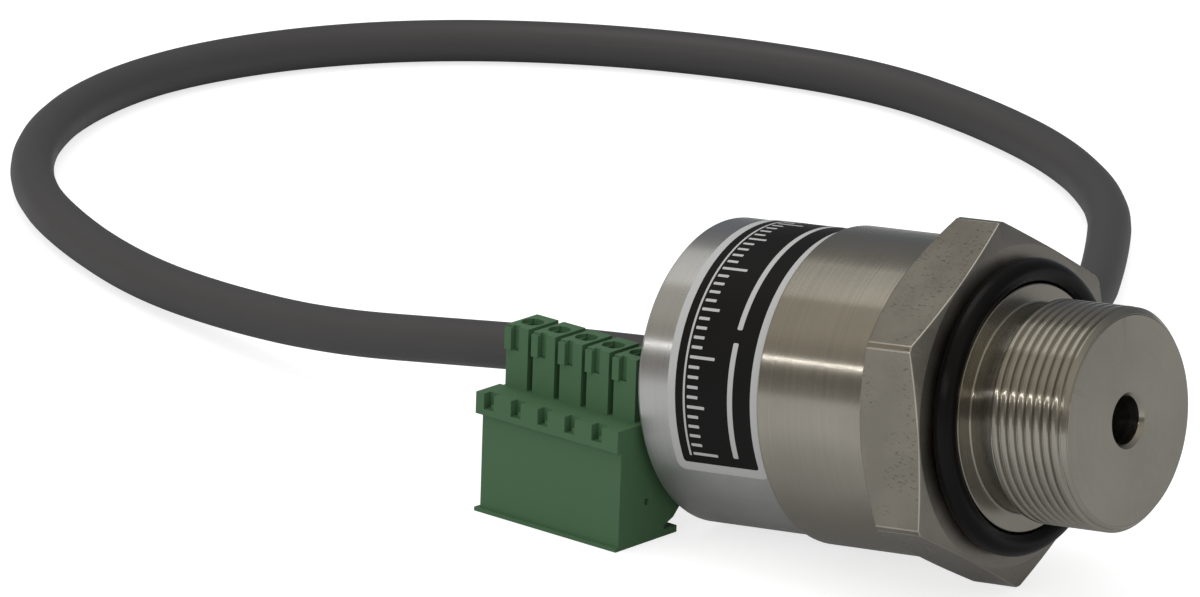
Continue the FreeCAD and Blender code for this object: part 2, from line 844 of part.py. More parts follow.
def plug_point(x, y, z):
    """A point of the plug's own frame, on the table."""
    turned_point = Rotation(Vector(0, 0, 1), s.plug_yaw.value).multVec(Vector(x, y, z))
    return turned_point + Vector(plug_x.value, plug_y.value, 0)


def pole(index):
    return s.first_pole_inset + index * s.pole_pitch


chamber_width = s.cage_width + 2 * s.chamber_clearance
chamber_depth = s.cage_depth + 2 * s.chamber_clearance
chamber_front = s.tower_front + 0.6
cage_front = chamber_front + s.chamber_clearance
cage_low = s.wire_height - s.cage_height / 2
contact_y = s.tower_front + s.tower_depth / 2


def make_plug_housing():
    """Green housing: body with foot and ledge, five towers, keys, sockets and wire holes."""
    body = document.addObject("PartDesign::Body", "plug_blank")
    side = sketch_outline(body, "YZ_Plane", [
        (ZERO, ZERO),
        (ZERO, s.body_height),
        (-s.ledge_overhang, s.body_height + s.ledge_slope),
        (-s.ledge_overhang, ledge_top),
        (s.tower_front, ledge_top),
        (s.tower_front, tower_top),
        (tower_back, tower_top),
        (tower_back, ledge_top),
        (s.plug_depth - s.back_bevel, ledge_top),
        (s.plug_depth, ledge_top - s.back_bevel),
        (s.plug_depth, s.foot_height + 2 * s.back_bevel),
        (s.plug_depth - s.back_bevel, s.foot_height + s.back_bevel),
        (s.plug_depth - s.undercut_depth, s.foot_height + s.foot_lip),
        (s.plug_depth - s.undercut_depth, s.foot_height),
        (s.plug_depth - s.foot_lip, s.foot_height),
        (s.plug_depth - s.foot_lip, ZERO),
    ], "plug_side_outline")
    pad = body.newObject("PartDesign::Pad", "plug_length")
    pad.Profile = side
    bind(pad, "Length", s.plug_width)

    tower_width = s.pole_pitch - s.tower_gap
    lips = [
        block("ledge_end", (-s.end_lip, -s.ledge_overhang, s.body_height + s.ledge_slope),
              (2 * s.end_lip, s.ledge_overhang + s.tower_front, s.ledge_height - s.ledge_slope)),
        block("foot_front", (-s.end_lip, -s.foot_lip, ZERO),
              (s.end_lip + s.plug_width, 2 * s.foot_lip, s.foot_lip_height)),
    ]
    for index in range(POLES):
        lips.append(block("tab_%d" % index,
                          (pole(index) - tower_width / 2, s.tower_front - s.tab_depth,
                           tower_top - s.tab_setback - s.tab_height),
                          (s.tab_width, 2 * s.tab_depth, s.tab_height)))
    solid = joined("plug_solid", [body] + lips)

    tools = []
    front = -s.ledge_overhang
    for index in range(POLES + 1):
        # The slots between the towers, and the shoulders beside the first and the last
        left = pole(index) - s.pole_pitch + tower_width / 2 if index else ZERO - 1.0
        right = pole(index) - tower_width / 2 if index < POLES else s.plug_width + 1.0
        tools.append(block("tower_gap_%d" % index, (left, s.tower_front - 1.0, ledge_top),
                           (right - left, s.tower_depth + 2.0, s.tower_height + 1.0)))
    for index in range(POLES):
        centre = pole(index)
        tools.append(block("contact_socket_%d" % index,
                           (centre - s.socket_width / 2, contact_y - s.socket_thickness / 2, cage_low),
                           (s.socket_width, s.socket_thickness, tower_top)))
        tools.append(block("chamber_%d" % index, (centre - chamber_width / 2, chamber_front, cage_low),
                           (chamber_width, chamber_depth, s.cage_height + s.chamber_clearance)))
        tools.append(cylinder_along("wire_hole_%d" % index, "Y", s.wire_hole_radius, s.plug_depth,
                                    (centre, chamber_front, s.wire_height)))
        tools.append(cylinder_along("screw_hole_%d" % index, "Z", s.screw_head_radius + s.chamber_clearance,
                                    cage_low + 2, (centre, contact_y, -1.0)))
        tools.append(cylinder_along("dish_%d" % index, "Z", s.dish_radius, 2 * s.dish_depth,
                                    (centre, contact_y, tower_top - s.dish_depth)))
        key_left = centre - s.key_width / 2 - 0.4
        key_low = ledge_top - s.key_height
        step_left = key_left + s.key_width - s.key_step_width
        tools.append(block("key_%d" % index, (key_left, front - 0.5, key_low),
                           (s.key_width - s.key_step_width, s.key_depth + 0.5, s.key_height + 1)))
        tools.append(block("key_side_%d" % index, (step_left, front - 0.5, key_low + s.key_step_height),
                           (s.key_step_width, s.key_depth + 0.5, s.key_height + 1)))
        tools.append(block("key_step_%d" % index, (step_left, front - 0.5, key_low),
                           (s.key_step_width, s.key_step_setback + 0.5, s.key_height)))
        recess_left = centre - tower_width / 2 + s.tab_width
        recess_low = tower_top - s.recess_height
        tools.append(block("recess_%d" % index, (recess_left, s.tower_front - 1.0, recess_low),
                           (s.recess_width, s.recess_depth + 1.0, s.recess_height + 1)))
    pit = rod("side_pit", s.plug_width - s.side_pit_depth, 2 * s.side_pit_depth, s.side_pit_radius,
              s.plug_depth * 0.44, s.body_height * 0.42)
    tools.append(pit)
    on_plug(cut_away("plug_housing_cut", solid, tools), "plug_housing")


make_plug_housing()


def make_plug_metal():
    """A clamp cage, a screw, a contact and a ferrule in each pole."""
    cages = []
    screws = []
    contacts = []
    ferrules = []
    wire_top = s.wire_height + s.ferrule_radius
    for index in range(POLES):
        centre = pole(index)
        shell = block("cage_shell_%d" % index, (centre - s.cage_width / 2, cage_front, cage_low),
                      (s.cage_width, s.cage_depth, s.cage_height))
        hollow = block("cage_hollow_%d" % index,
                       (centre - s.cage_width / 2 + s.cage_wall, cage_front - 1, cage_low + s.cage_wall),
                       (s.cage_width - 2 * s.cage_wall, s.cage_depth + 2, s.cage_height - 2 * s.cage_wall))
        tapped = cylinder_along("cage_tapped_%d" % index, "Z", s.screw_shank_radius, s.cage_wall + 2,
                                (centre, contact_y, cage_low - 1))
        roof = cage_low + s.cage_height - s.cage_wall
        slot = block("cage_slot_%d" % index,
                     (centre - s.contact_width / 2 - 0.05, contact_y - 0.8, roof - 1),
                     (s.contact_width + 0.1, 1.6, s.cage_wall + 2))
        cages.append(cut_away("cage_%d" % index, shell, [hollow, tapped, slot]))
        head = cylinder_along("screw_head_%d" % index, "Z", s.screw_head_radius, s.screw_head_length,
                              (centre, contact_y, s.screw_setback))
        shank_low = s.screw_setback + s.screw_head_length
        shank = cylinder_along("screw_shank_%d" % index, "Z", s.screw_shank_radius,
                               s.wire_height - s.ferrule_radius - shank_low, (centre, contact_y, shank_low))
        drive = block("screw_drive_%d" % index,
                      (centre - s.screw_head_radius, contact_y - 0.2, s.screw_setback - 1),
                      (2 * s.screw_head_radius, 0.4, 1.6))
        screws.append(cut_away("screw_%d" % index, joined("screw_solid_%d" % index, [head, shank]), [drive]))
        blades = []
        for side in (-1, 1):
            middle = contact_y + side * 0.55
            blades.append(block("blade_%d_%d" % (index, side),
                                (centre - s.contact_width / 2, middle - s.contact_thickness / 2, wire_top),
                                (s.contact_width, s.contact_thickness, tower_top - wire_top - 2.2)))
        foot = block("contact_foot_%d" % index,
                     (centre - s.contact_width / 2, contact_y - 0.55 - s.contact_thickness / 2, wire_top),
                     (s.contact_width, 1.1 + s.contact_thickness, s.contact_thickness))
        contacts.append(joined("contact_%d" % index, blades + [foot]))
        ferrules.append(cut_away(
            "ferrule_%d" % index,
            cylinder_along("ferrule_solid_%d" % index, "Y", s.ferrule_radius, s.ferrule_length,
                           (centre, s.plug_depth - s.ferrule_length + 0.6, s.wire_height)),
            [cylinder_along("ferrule_bore_%d" % index, "Y", s.wire_radius, s.ferrule_length,
                            (centre, s.plug_depth - s.ferrule_length + 1.8, s.wire_height))],
        ))
    on_plug(group("cages_group", cages), "clamp_cages")
    on_plug(group("screws_group", screws), "clamp_screws")
    on_plug(group("contacts_group", contacts), "plug_contacts")
    on_plug(group("ferrules_group", ferrules), "wire_ferrules")


make_plug_metal()


# Cable. Its route is chosen by hand: straight out of the gland, down to the table, one
# round loop behind the sensor and back under its own first run to the rear of the plug.
ground = s.cable_radius.value
cable_route = [
    in_world(jacket_inner_end.value),
    in_world(jacket_inner_end.value - 21.0),
    Vector(-56.9, 1.4, 10.0),
    Vector(-75.7, 4.9, 6.2),
    Vector(-93.0, 9.9, 3.8),
    Vector(-109.2, 14.9, 2.6),
    Vector(-124.6, 22.1, ground),
    Vector(-138.9, 31.5, ground),
    Vector(-150.3, 45.0, ground),
    Vector(-157.6, 61.0, ground),
    Vector(-159.7, 78.5, ground),
    Vector(-155.2, 95.8, ground),
    Vector(-145.6, 110.3, ground),
    Vector(-131.6, 121.4, ground),
    Vector(-114.8, 128.8, ground),
    Vector(-97.1, 132.0, ground),
    Vector(-79.9, 128.0, ground),
    Vector(-63.7, 120.7, ground),
    Vector(-49.3, 108.6, ground),
    Vector(-39.1, 92.8, ground),
    Vector(-29.9, 76.3, ground),
    Vector(-27.7, 57.4, ground),
    Vector(-27.5, 39.4, ground),
]


def make_cable():
    """The jacket, and the five wires that leave it at both ends."""
    middle = pole((POLES - 1) // 2)
    back = plug_point(middle.value, s.plug_depth.value, 0)
    behind = plug_point(middle.value, s.plug_depth.value + 1, 0) - back
    end = back + behind * s.wire_fan.value + Vector(0, 0, ground)
    cable_route.append(end + behind * 15)
    cable_route.append(end)
    tube, length, radii = swept(cable_route, s.cable_radius.value)
    jacket = document.addObject("Part::Feature", "cable_jacket_tube")
    jacket.Shape = tube
    keep(jacket, "cable_jacket")
    print("cable %.1f mm long, volume %.2f, section times length %.2f"
          % (length, tube.Volume, math.pi * s.cable_radius.value ** 2 * length))
    print("cable arc radii", [round(value, 1) for value in radii])

    colours = ("red", "green", "white", "black", "brown")
    lay_angles = (162, 234, 90, 306, 18)
    plug_end = cable_route[-1]
    sideways = plug_point(1, 0, 0) - plug_point(0, 0, 0)
    wire = s.wire_radius.value
    for index, colour in enumerate(colours):
        angle = math.radians(lay_angles[index])
        across = s.wire_lay_radius.value * math.cos(angle)
        up = s.wire_lay_radius.value * math.sin(angle)
        entry = plug_point(pole(index).value, s.plug_depth.value, s.wire_height.value)
        leave = plug_end + sideways * across + Vector(0, 0, up)
        outside, outside_length, outside_radii = swept([
            leave,
            leave - behind * 4.6,
            entry + behind * 4.6,
            entry - behind * (s.ferrule_length.value - 1.8),
        ], wire)
        start = in_world(jacket_inner_end.value, across, up)
        goal_y = terminal_y(index).value
        level = terminal_level.value
        inside, inside_length, inside_radii = swept([
            start,
            in_world(jacket_inner_end.value + 3.4, across, up),
            in_world(terminal_rear.value - 3.2, goal_y, level),
            in_world(terminal_rear.value + s.terminal_length.value / 2, goal_y, level),
        ], wire)
        lead = document.addObject("Part::Feature", "wire_tube_" + colour)
        lead.Shape = Part.makeCompound([outside, inside])
        keep(lead, "wire_" + colour)
        print("wire", colour, "%.1f + %.1f mm, radii" % (outside_length, inside_length),
              [round(value, 1) for value in outside_radii + inside_radii])


make_cable()
document.recompute()

# Every object has to be sound before anything is written
faults = [thing.Name for thing in document.Objects if "Invalid" in thing.State or "Error" in thing.State]
for thing in parts:
    if thing.Shape.isNull() or not thing.Shape.isValid() or not thing.Shape.Solids:
        faults.append(thing.Label)
if faults:
    raise RuntimeError("failed: " + ", ".join(faults))

os.makedirs("parts", exist_ok=True)
for thing in parts:
    thing.Shape.exportStep("parts/%s.step" % thing.Label)
    print("%-20s solids %2d  volume %9.2f" % (thing.Label, len(thing.Shape.Solids), thing.Shape.Volume))
print("rest tilt %.3f degrees, axis height %.3f, shift %.3f, pieces %d"
      % (REST_TILT.value, axis_height.value, sensor_shift.value, len(parts)))
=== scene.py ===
"""Builds the look of a screw-in vacuum sensor with its cable and plug round the CAD frame.

The frame is in metres with the table at z = 0. The sensor lies tilted on that table, so its
turned pieces are meshed in millimetres along their own axis and laid down by one matrix.
"""

from __future__ import annotations

import json
import logging
import math
from abc import ABC, abstractmethod
from dataclasses import dataclass, field
from enum import Enum
from typing import Callable, Iterable, Sequence

import bpy
from bpy.types import ID, Material, Mesh, Node, NodeSocket, NodeTree, Object
from mathutils import Matrix, Vector

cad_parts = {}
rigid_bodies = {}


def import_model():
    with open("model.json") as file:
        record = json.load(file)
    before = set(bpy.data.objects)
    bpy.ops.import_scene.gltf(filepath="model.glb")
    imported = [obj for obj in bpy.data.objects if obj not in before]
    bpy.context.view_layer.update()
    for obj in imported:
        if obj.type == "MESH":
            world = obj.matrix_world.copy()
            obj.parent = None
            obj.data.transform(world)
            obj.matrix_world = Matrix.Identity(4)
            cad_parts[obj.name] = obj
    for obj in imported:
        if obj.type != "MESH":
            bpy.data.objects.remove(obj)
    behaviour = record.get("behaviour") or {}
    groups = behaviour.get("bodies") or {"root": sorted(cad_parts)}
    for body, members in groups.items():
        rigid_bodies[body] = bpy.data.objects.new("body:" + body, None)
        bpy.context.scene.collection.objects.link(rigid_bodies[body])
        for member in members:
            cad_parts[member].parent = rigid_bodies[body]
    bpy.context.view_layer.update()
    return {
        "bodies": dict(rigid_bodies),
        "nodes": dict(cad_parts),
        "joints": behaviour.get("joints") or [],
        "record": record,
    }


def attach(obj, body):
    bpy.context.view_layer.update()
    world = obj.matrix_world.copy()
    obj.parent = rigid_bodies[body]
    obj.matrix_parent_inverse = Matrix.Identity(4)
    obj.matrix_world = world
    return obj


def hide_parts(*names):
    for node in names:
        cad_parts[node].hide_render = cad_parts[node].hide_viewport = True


LOG = logging.getLogger("vacuum_sensor")
FRAME: dict = {}
MM = 0.001
TURNING = "turning"
TURNING_MM = 100.0
Outline = list[tuple[float, float]]
Corners = list[tuple[float, float, float]]
Colour = Sequence[float] | NodeSocket


class Rest:
    """The pose in which the sensor lies: on one hexagon corner and on its rear rim."""

    TILT_DEGREES = 6.186
    SHIFT_MM = 12.910
    AXIS_HEIGHT_MM = 18.808

    @classmethod
    def matrix(cls) -> Matrix:
        """The sensor's own frame as it lies in the world.

        Returns:
            The matrix, from millimetres along X to metres.
        """
        place = Matrix.Translation(Vector((cls.SHIFT_MM, 0.0, cls.AXIS_HEIGHT_MM)) * MM)
        turn = Matrix.Rotation(-math.radians(cls.TILT_DEGREES), 4, "Y")
        return place @ turn @ Matrix.Scale(MM, 4)

    @classmethod
    def point(cls, station: float, across: float = 0.0, up: float = 0.0) -> Vector:
        """A point of the sensor's own frame in the world, in metres."""
        return cls.matrix() @ Vector((station, across, up))


class Nodes:
    """A small hand for building one node tree."""

    def __init__(self, tree: NodeTree) -> None:
        """Clears a material's or the world's node tree and keeps it."""
        tree.nodes.clear()
        self.tree = tree

    def add(self, kind: str, **settings: object) -> Node:
        """Adds one node.

        Args:
            kind: The node's Blender type.
            **settings: Properties to set on it.

        Returns:
            The new node.
        """
        node = self.tree.nodes.new(kind)
        for name, value in settings.items():
            setattr(node, name, value)
        return node

    def link(self, source: NodeSocket, target: NodeSocket) -> None:
        """Joins two sockets."""
        self.tree.links.new(source, target)

    def place(self) -> NodeSocket:
        """Where a point lies in its object's own frame."""
        return self.add("ShaderNodeTexCoord").outputs["Object"]

    def noise(
        self, vector: NodeSocket, scale: float, detail: float, stretch: Sequence[float] = (1.0, 1.0, 1.0)
    ) -> NodeSocket:
        """Adds noise on stretched coordinates.

        Args:
            vector: Where the coordinates come from.
            scale: The noise's scale after stretching.
            detail: Octaves of finer noise.
            stretch: Factors on the three coordinates.

        Returns:
            The noise's value, about 0 to 1.
        """
        mapping = self.add("ShaderNodeMapping")
        mapping.inputs["Scale"].default_value = stretch
        self.link(vector, mapping.inputs["Vector"])
        noise = self.add("ShaderNodeTexNoise")
        noise.inputs["Scale"].default_value = scale
        noise.inputs["Detail"].default_value = detail
        self.link(mapping.outputs["Vector"], noise.inputs["Vector"])
        return noise.outputs["Fac"]

    def spread(
        self, value: NodeSocket, low: float, high: float, start: float = 0.3, end: float = 0.7
    ) -> NodeSocket:
        """Maps a value from start..end to low..high, clamped.

        Args:
            value: The value to map.
            low: The result at start.
            high: The result at end.
            start: Where the mapping starts.
            end: Where it ends.

        Returns:
            The mapped value.
        """
        ranged = self.add("ShaderNodeMapRange")
        for name, number in (("From Min", start), ("From Max", end), ("To Min", low), ("To Max", high)):
            ranged.inputs[name].default_value = number
        self.link(value, ranged.inputs["Value"])
        return ranged.outputs["Result"]

    def portion(self, value: NodeSocket, start: float, end: float) -> NodeSocket:
        """How far a value is on its way from start to end, 0 to 1."""
        return self.spread(value, 0.0, 1.0, start, end)

    def ramp(self, value: NodeSocket, stops: Iterable[tuple[float, Sequence[float]]]) -> NodeSocket:
        """Colours along a value.

        Args:
            value: From 0 to 1.
            stops: Places and their colours, in order.

        Returns:
            The colour.
        """
        node = self.add("ShaderNodeValToRGB")
        elements = node.color_ramp.elements
        node.color_ramp.interpolation = "EASE"
        places = list(stops)
        while len(elements) < len(places):
            elements.new(1.0)
        for element, (place, colour) in zip(elements, places):
            element.position = place
            element.color = (*colour, 1.0)
        self.link(value, node.inputs["Fac"])
        return node.outputs["Color"]

    def blend_colors(self, factor: NodeSocket, first: Colour, second: Colour) -> NodeSocket:
        """Mixes two colours.

        Args:
            factor: 0 gives the first colour and 1 the second.
            first: A colour or the socket of one.
            second: A colour or the socket of one.

        Returns:
            The mixed colour.
        """
        mix = self.add("ShaderNodeMix", data_type="RGBA")
        self.link(factor, mix.inputs["Factor"])
        for socket, colour in ((mix.inputs[6], first), (mix.inputs[7], second)):
            if isinstance(colour, NodeSocket):
                self.link(colour, socket)
            else:
                socket.default_value = (*colour[:3], 1.0)
        return mix.outputs[2]

    def math(self, operation: str, first: NodeSocket | float, second: NodeSocket | float) -> NodeSocket:
        """Adds one sum.

        Args:
            operation: The Math node's operation.
            first: A socket or a number.
            second: A socket or a number.

        Returns:
            The result.
        """
        node = self.add("ShaderNodeMath", operation=operation)
        for index, value in enumerate((first, second)):
            if isinstance(value, NodeSocket):
                self.link(value, node.inputs[index])
            else:
                node.inputs[index].default_value = value
        return node.outputs[0]

    def shared(self, first: NodeSocket, second: NodeSocket, share: float) -> NodeSocket:
        """Adds two values; the first has the given share and the second has the rest."""
        rest = self.math("MULTIPLY", second, 1.0 - share)
        return self.math("ADD", self.math("MULTIPLY", first, share), rest)

    def bump(
        self, height: NodeSocket, strength: float, distance_mm: float, below: NodeSocket | None = None
    ) -> NodeSocket:
        """Adds a bump.

        Args:
            height: The height, 0 to 1.
            strength: How much of it is used.
            distance_mm: What a height of 1 stands for.
            below: A normal to build on.

        Returns:
            The bumped normal.
        """
        node = self.add("ShaderNodeBump")
        node.inputs["Strength"].default_value = strength
        node.inputs["Distance"].default_value = distance_mm * MM
        self.link(height, node.inputs["Height"])
        if below is not None:
            self.link(below, node.inputs["Normal"])
        return node.outputs["Normal"]


# Finishes


@dataclass(frozen=True)
class Finish(ABC):
    """One surface finish: a name, a colour and how rough it is."""

    name: str
    color: tuple[float, float, float]
    roughness: float = 0.5

    def material(self) -> Material:
        """The Blender material of this finish, made once.

        Returns:
            The material.
        """
        known = bpy.data.materials.get(self.name)
        if known is not None:
            return known
        material = bpy.data.materials.new(self.name)
        material.use_nodes = True
        nodes = Nodes(material.node_tree)
        output = nodes.add("ShaderNodeOutputMaterial")
        shader = nodes.add("ShaderNodeBsdfPrincipled")
        shader.inputs["Base Color"].default_value = (*self.color, 1.0)
        shader.inputs["Roughness"].default_value = self.roughness
        nodes.link(shader.outputs["BSDF"], output.inputs["Surface"])
        self.dress(nodes, shader)
        return material

    def toned(self, factor: float) -> tuple[float, ...]:
        """The finish's colour, lighter or darker by a factor."""
        return tuple(channel * factor for channel in self.color)

    def roughen(
        self, nodes: Nodes, shader: Node, value: NodeSocket, less: float, more: float
    ) -> None:
        """Lets the roughness follow a value, from so much less than its own to so much more."""
        varied = nodes.spread(value, self.roughness - less, self.roughness + more)
        nodes.link(varied, shader.inputs["Roughness"])

    @abstractmethod
    def dress(self, nodes: Nodes, shader: Node) -> None:
        """Adds what makes this finish to its Principled shader."""


@dataclass(frozen=True)
class TurnedSteel(Finish):
    """Turned stainless steel: fine rings from the tool, faint stains and small pits."""

    grooves: float = 0.04
    spread_of_tone: float = 0.07

    def dress(self, nodes: Nodes, shader: Node) -> None:
        """Adds the rings, stains and pits.

        Args:
            nodes: The material's nodes.
            shader: Its Principled shader.
        """
        shader.inputs["Metallic"].default_value = 1.0
        shader.inputs["Anisotropic"].default_value = 0.95
        shader.inputs["Anisotropic Rotation"].default_value = 0.25
        place = nodes.place()
        turning = nodes.add("ShaderNodeUVMap", uv_map=TURNING).outputs["UV"]
        tangent = nodes.add("ShaderNodeTangent", direction_type="UV_MAP", uv_map=TURNING)
        nodes.link(tangent.outputs["Tangent"], shader.inputs["Tangent"])
        rings = nodes.noise(turning, 1.0, 3.0, (5.0, 1100.0, 1.0))
        streaks = nodes.noise(turning, 1.0, 2.0, (2.5, 420.0, 1.0))
        stains = nodes.noise(place, 160.0, 4.0)
        grain = nodes.noise(place, 2400.0, 3.0)
        tone = nodes.shared(streaks, stains, 0.45)
        dark, light = self.toned(1.0 - self.spread_of_tone), self.toned(1.0 + self.spread_of_tone)
        stained = nodes.blend_colors(nodes.portion(tone, 0.35, 0.65), dark, light)
        nodes.link(stained, shader.inputs["Base Color"])
        self.roughen(nodes, shader, nodes.shared(streaks, grain, 0.6), 0.03, 0.05)
        ringed = nodes.bump(rings, self.grooves, 0.02)
        pits = nodes.portion(grain, 0.30, 0.42)
        nodes.link(nodes.bump(pits, 0.02, 0.03, ringed), shader.inputs["Normal"])


@dataclass(frozen=True)
class DrawnSteel(Finish):
    """The drawn faces of hexagonal bar: lengthwise scratches, stains and small dark pits."""

    pitting: float = 1.0

    def dress(self, nodes: Nodes, shader: Node) -> None:
        """Adds the scratches, stains and pits.

        Args:
            nodes: The material's nodes.
            shader: Its Principled shader.
        """
        shader.inputs["Metallic"].default_value = 1.0
        place = nodes.place()
        scratches = nodes.noise(place, 1.0, 3.0, (260.0, 2600.0, 2600.0))
        pits = nodes.noise(place, 1.0, 2.0, (1600.0, 4000.0, 4000.0))
        stains = nodes.noise(place, 210.0, 4.0)
        clusters = nodes.spread(nodes.noise(place, 170.0, 2.0), 0.0, self.pitting, 0.40, 0.55)
        stained = nodes.portion(stains, 0.38, 0.62)
        body = nodes.blend_colors(stained, self.toned(0.90), self.toned(1.06))
        hollow = nodes.math("MULTIPLY", nodes.spread(pits, 1.0, 0.0, 0.35, 0.40), clusters)
        pitted = nodes.blend_colors(nodes.math("MULTIPLY", hollow, 0.8), body, self.toned(0.45))
        nodes.link(pitted, shader.inputs["Base Color"])
        self.roughen(nodes, shader, stains, 0.03, 0.06)
        scratched = nodes.bump(scratches, 0.10, 0.02)
        raised = nodes.math("SUBTRACT", 1.0, hollow)
        nodes.link(nodes.bump(raised, 0.30, 0.04, scratched), shader.inputs["Normal"])


@dataclass(frozen=True)
class PlainMetal(Finish):
    """Plated or bare metal on the small pieces."""

    def dress(self, nodes: Nodes, shader: Node) -> None:
        """Adds a slight unevenness.

        Args:
            nodes: The material's nodes.
            shader: Its Principled shader.
        """
        shader.inputs["Metallic"].default_value = 1.0
        place = nodes.place()
        uneven = nodes.noise(place, 900.0, 3.0)
        self.roughen(nodes, shader, uneven, 0.02, 0.03)
        nodes.link(nodes.bump(uneven, 0.005, 0.02), shader.inputs["Normal"])


@dataclass(frozen=True)
class Moulded(Finish):
    """Moulded plastic or rubber: fine grain, soft unevenness and a trace of dust."""

    grain: float = 0.12
    grain_scale: float = 2600.0
    dust: float = 0.06
    specular: float = 0.5
    rounding_mm: float = 0.0

    def dress(self, nodes: Nodes, shader: Node) -> None:
        """Adds the grain, the dust and, where it is asked for, light on rounded edges.

        Args:
            nodes: The material's nodes.
            shader: Its Principled shader.
        """
        shader.inputs["Specular IOR Level"].default_value = self.specular
        place = nodes.place()
        fine = nodes.noise(place, self.grain_scale, 3.0)
        soft = nodes.noise(place, self.grain_scale / 18.0, 3.0)
        pale = tuple(channel + self.dust * (0.5 - channel) for channel in self.color)
        dusty = nodes.blend_colors(nodes.portion(soft, 0.35, 0.75), self.color, pale)
        nodes.link(dusty, shader.inputs["Base Color"])
        self.roughen(nodes, shader, soft, 0.05, 0.07)
        edges = None
        if self.rounding_mm > 0.0:
            rounded = nodes.add("ShaderNodeBevel", samples=6)
            rounded.inputs["Radius"].default_value = self.rounding_mm * MM
            edges = rounded.outputs["Normal"]
        nodes.link(nodes.bump(fine, self.grain, 0.05, edges), shader.inputs["Normal"])


@dataclass(frozen=True)
class SealingGlass(Finish):
    """Clear glass with a faint tint."""

    def dress(self, nodes: Nodes, shader: Node) -> None:
        """Lets light through."""
        shader.inputs["Transmission Weight"].default_value = 0.85
        shader.inputs["IOR"].default_value = 1.5


STEEL = TurnedSteel("turned_steel", (0.330, 0.311, 0.267), 0.21)
HOUSING_STEEL = TurnedSteel("housing_steel", (0.475, 0.477, 0.467), 0.29)
BAR_STEEL = DrawnSteel("drawn_bar_steel", (0.240, 0.224, 0.191), 0.27, 0.75)
FACED_STEEL = DrawnSteel("faced_steel", (0.305, 0.286, 0.252), 0.46, 0.3)
# Lighter steel laid on the hexagon's corner edges and front rim: a painted highlight where the rounded
# edges catch the light.
PAINTED_EDGE_HIGHLIGHT = DrawnSteel("worn_edge", (0.46, 0.436, 0.380), 0.30, 0.1)
JACKET = Moulded("cable_jacket_grey", (0.049, 0.046, 0.047), 0.52, 0.10, 1500.0, 0.01)
SEAL = Moulded("seal_rubber", (0.0032, 0.0027, 0.0028), 0.28, 0.10, 1900.0, 0.002, 0.13)
PLUG_GREEN = Moulded("plug_green", (0.083, 0.178, 0.076), 0.46, 0.08, 2600.0, 0.01, 0.40, 0.28)
LABEL_FIELD = Moulded("label_black", (0.006, 0.0055, 0.0055), 0.45, 0.03, 2200.0, 0.002, 0.12)
LABEL_BORDER = Moulded("label_pale", (0.50, 0.50, 0.495), 0.42, 0.03, 2200.0, 0.0, 0.35)

SLOT_FINISHES: dict[str, Finish] = {
    "steel": STEEL,
    "steel_inner": PlainMetal("inner_steel", (0.50, 0.49, 0.46), 0.34),
    "spring_steel": PlainMetal("spring_steel", (0.22, 0.21, 0.20), 0.38),
    "nickel": PlainMetal("nickel_plate", (0.52, 0.495, 0.45), 0.32),
    "seal": SEAL,
    "ceramic": Moulded("white_ceramic", (0.82, 0.81, 0.76), 0.48),
    "glass": SealingGlass("sealing_glass", (0.42, 0.52, 0.48), 0.12),
    "silicon": PlainMetal("silicon", (0.20, 0.20, 0.24), 0.10),
    "gold": PlainMetal("gold_plate", (0.82, 0.60, 0.24), 0.22),
    "board": Moulded("circuit_board", (0.02, 0.14, 0.05), 0.30, 0.05),
    "chip": Moulded("chip_black", (0.020, 0.020, 0.022), 0.45),
    "capacitor": Moulded("capacitor_tan", (0.42, 0.30, 0.18), 0.40),
    "trim": Moulded("trim_blue", (0.04, 0.14, 0.40), 0.40),
    "white_plastic": Moulded("terminal_white", (0.74, 0.73, 0.68), 0.45),
    "carrier": Moulded("carrier_black", (0.030, 0.030, 0.033), 0.50),
    "label": LABEL_BORDER,
    "plug_green": PLUG_GREEN,
    "tin": PlainMetal("tin_plate", (0.62, 0.62, 0.60), 0.30),
    "jacket": JACKET,
    "red": Moulded("wire_red", (0.40, 0.025, 0.018), 0.45),
    "green": Moulded("wire_green", (0.025, 0.22, 0.05), 0.45),
    "white": Moulded("wire_white", (0.72, 0.72, 0.68), 0.45),
    "black": Moulded("wire_black", (0.014, 0.014, 0.015), 0.45),
    "brown": Moulded("wire_brown", (0.13, 0.055, 0.022), 0.45),
}


# Meshes


def eased(rows: Corners, steps: int = 3) -> Outline:
    """Rounds the corners of a closed outline with small arcs.

    Args:
        rows: Station, radius and rounding of each corner.
        steps: Pieces of each arc.

    Returns:
        The rounded outline, with the same number of points for the same number of corners.
    """
    result: Outline = []
    places = [Vector(row[:2]) for row in rows]
    for index, corner in enumerate(places):
        radius = rows[index][2]
        before = places[index - 1] - corner
        after = places[(index + 1) % len(places)] - corner
        into, away = before.normalized(), after.normalized()
        half = max(into.angle(away, math.pi) / 2.0, 0.05)
        reach = min(radius / math.tan(half), 0.45 * before.length, 0.45 * after.length)
        start, end = corner + into * reach, corner + away * reach
        for step in range(steps + 1):
            part = step / steps
            first, second = start.lerp(corner, part), corner.lerp(end, part)
            result.append(tuple(first.lerp(second, part)))
    return result


def round_point(station: float, radius: float, angle: float) -> tuple[float, float, float]:
    """A point round the sensor's axis; the angle in degrees runs from up towards the camera side."""
    turn = math.radians(angle)
    return station, -radius * math.sin(turn), radius * math.cos(turn)


def added(name: str, data: ID) -> Object:
    """Adds an object with the given data to the scene.

    Args:
        name: The object's name.
        data: Its mesh, curve, lamp or camera.

    Returns:
        The object.
    """
    item = bpy.data.objects.new(name, data)
    bpy.context.scene.collection.objects.link(item)
    return item


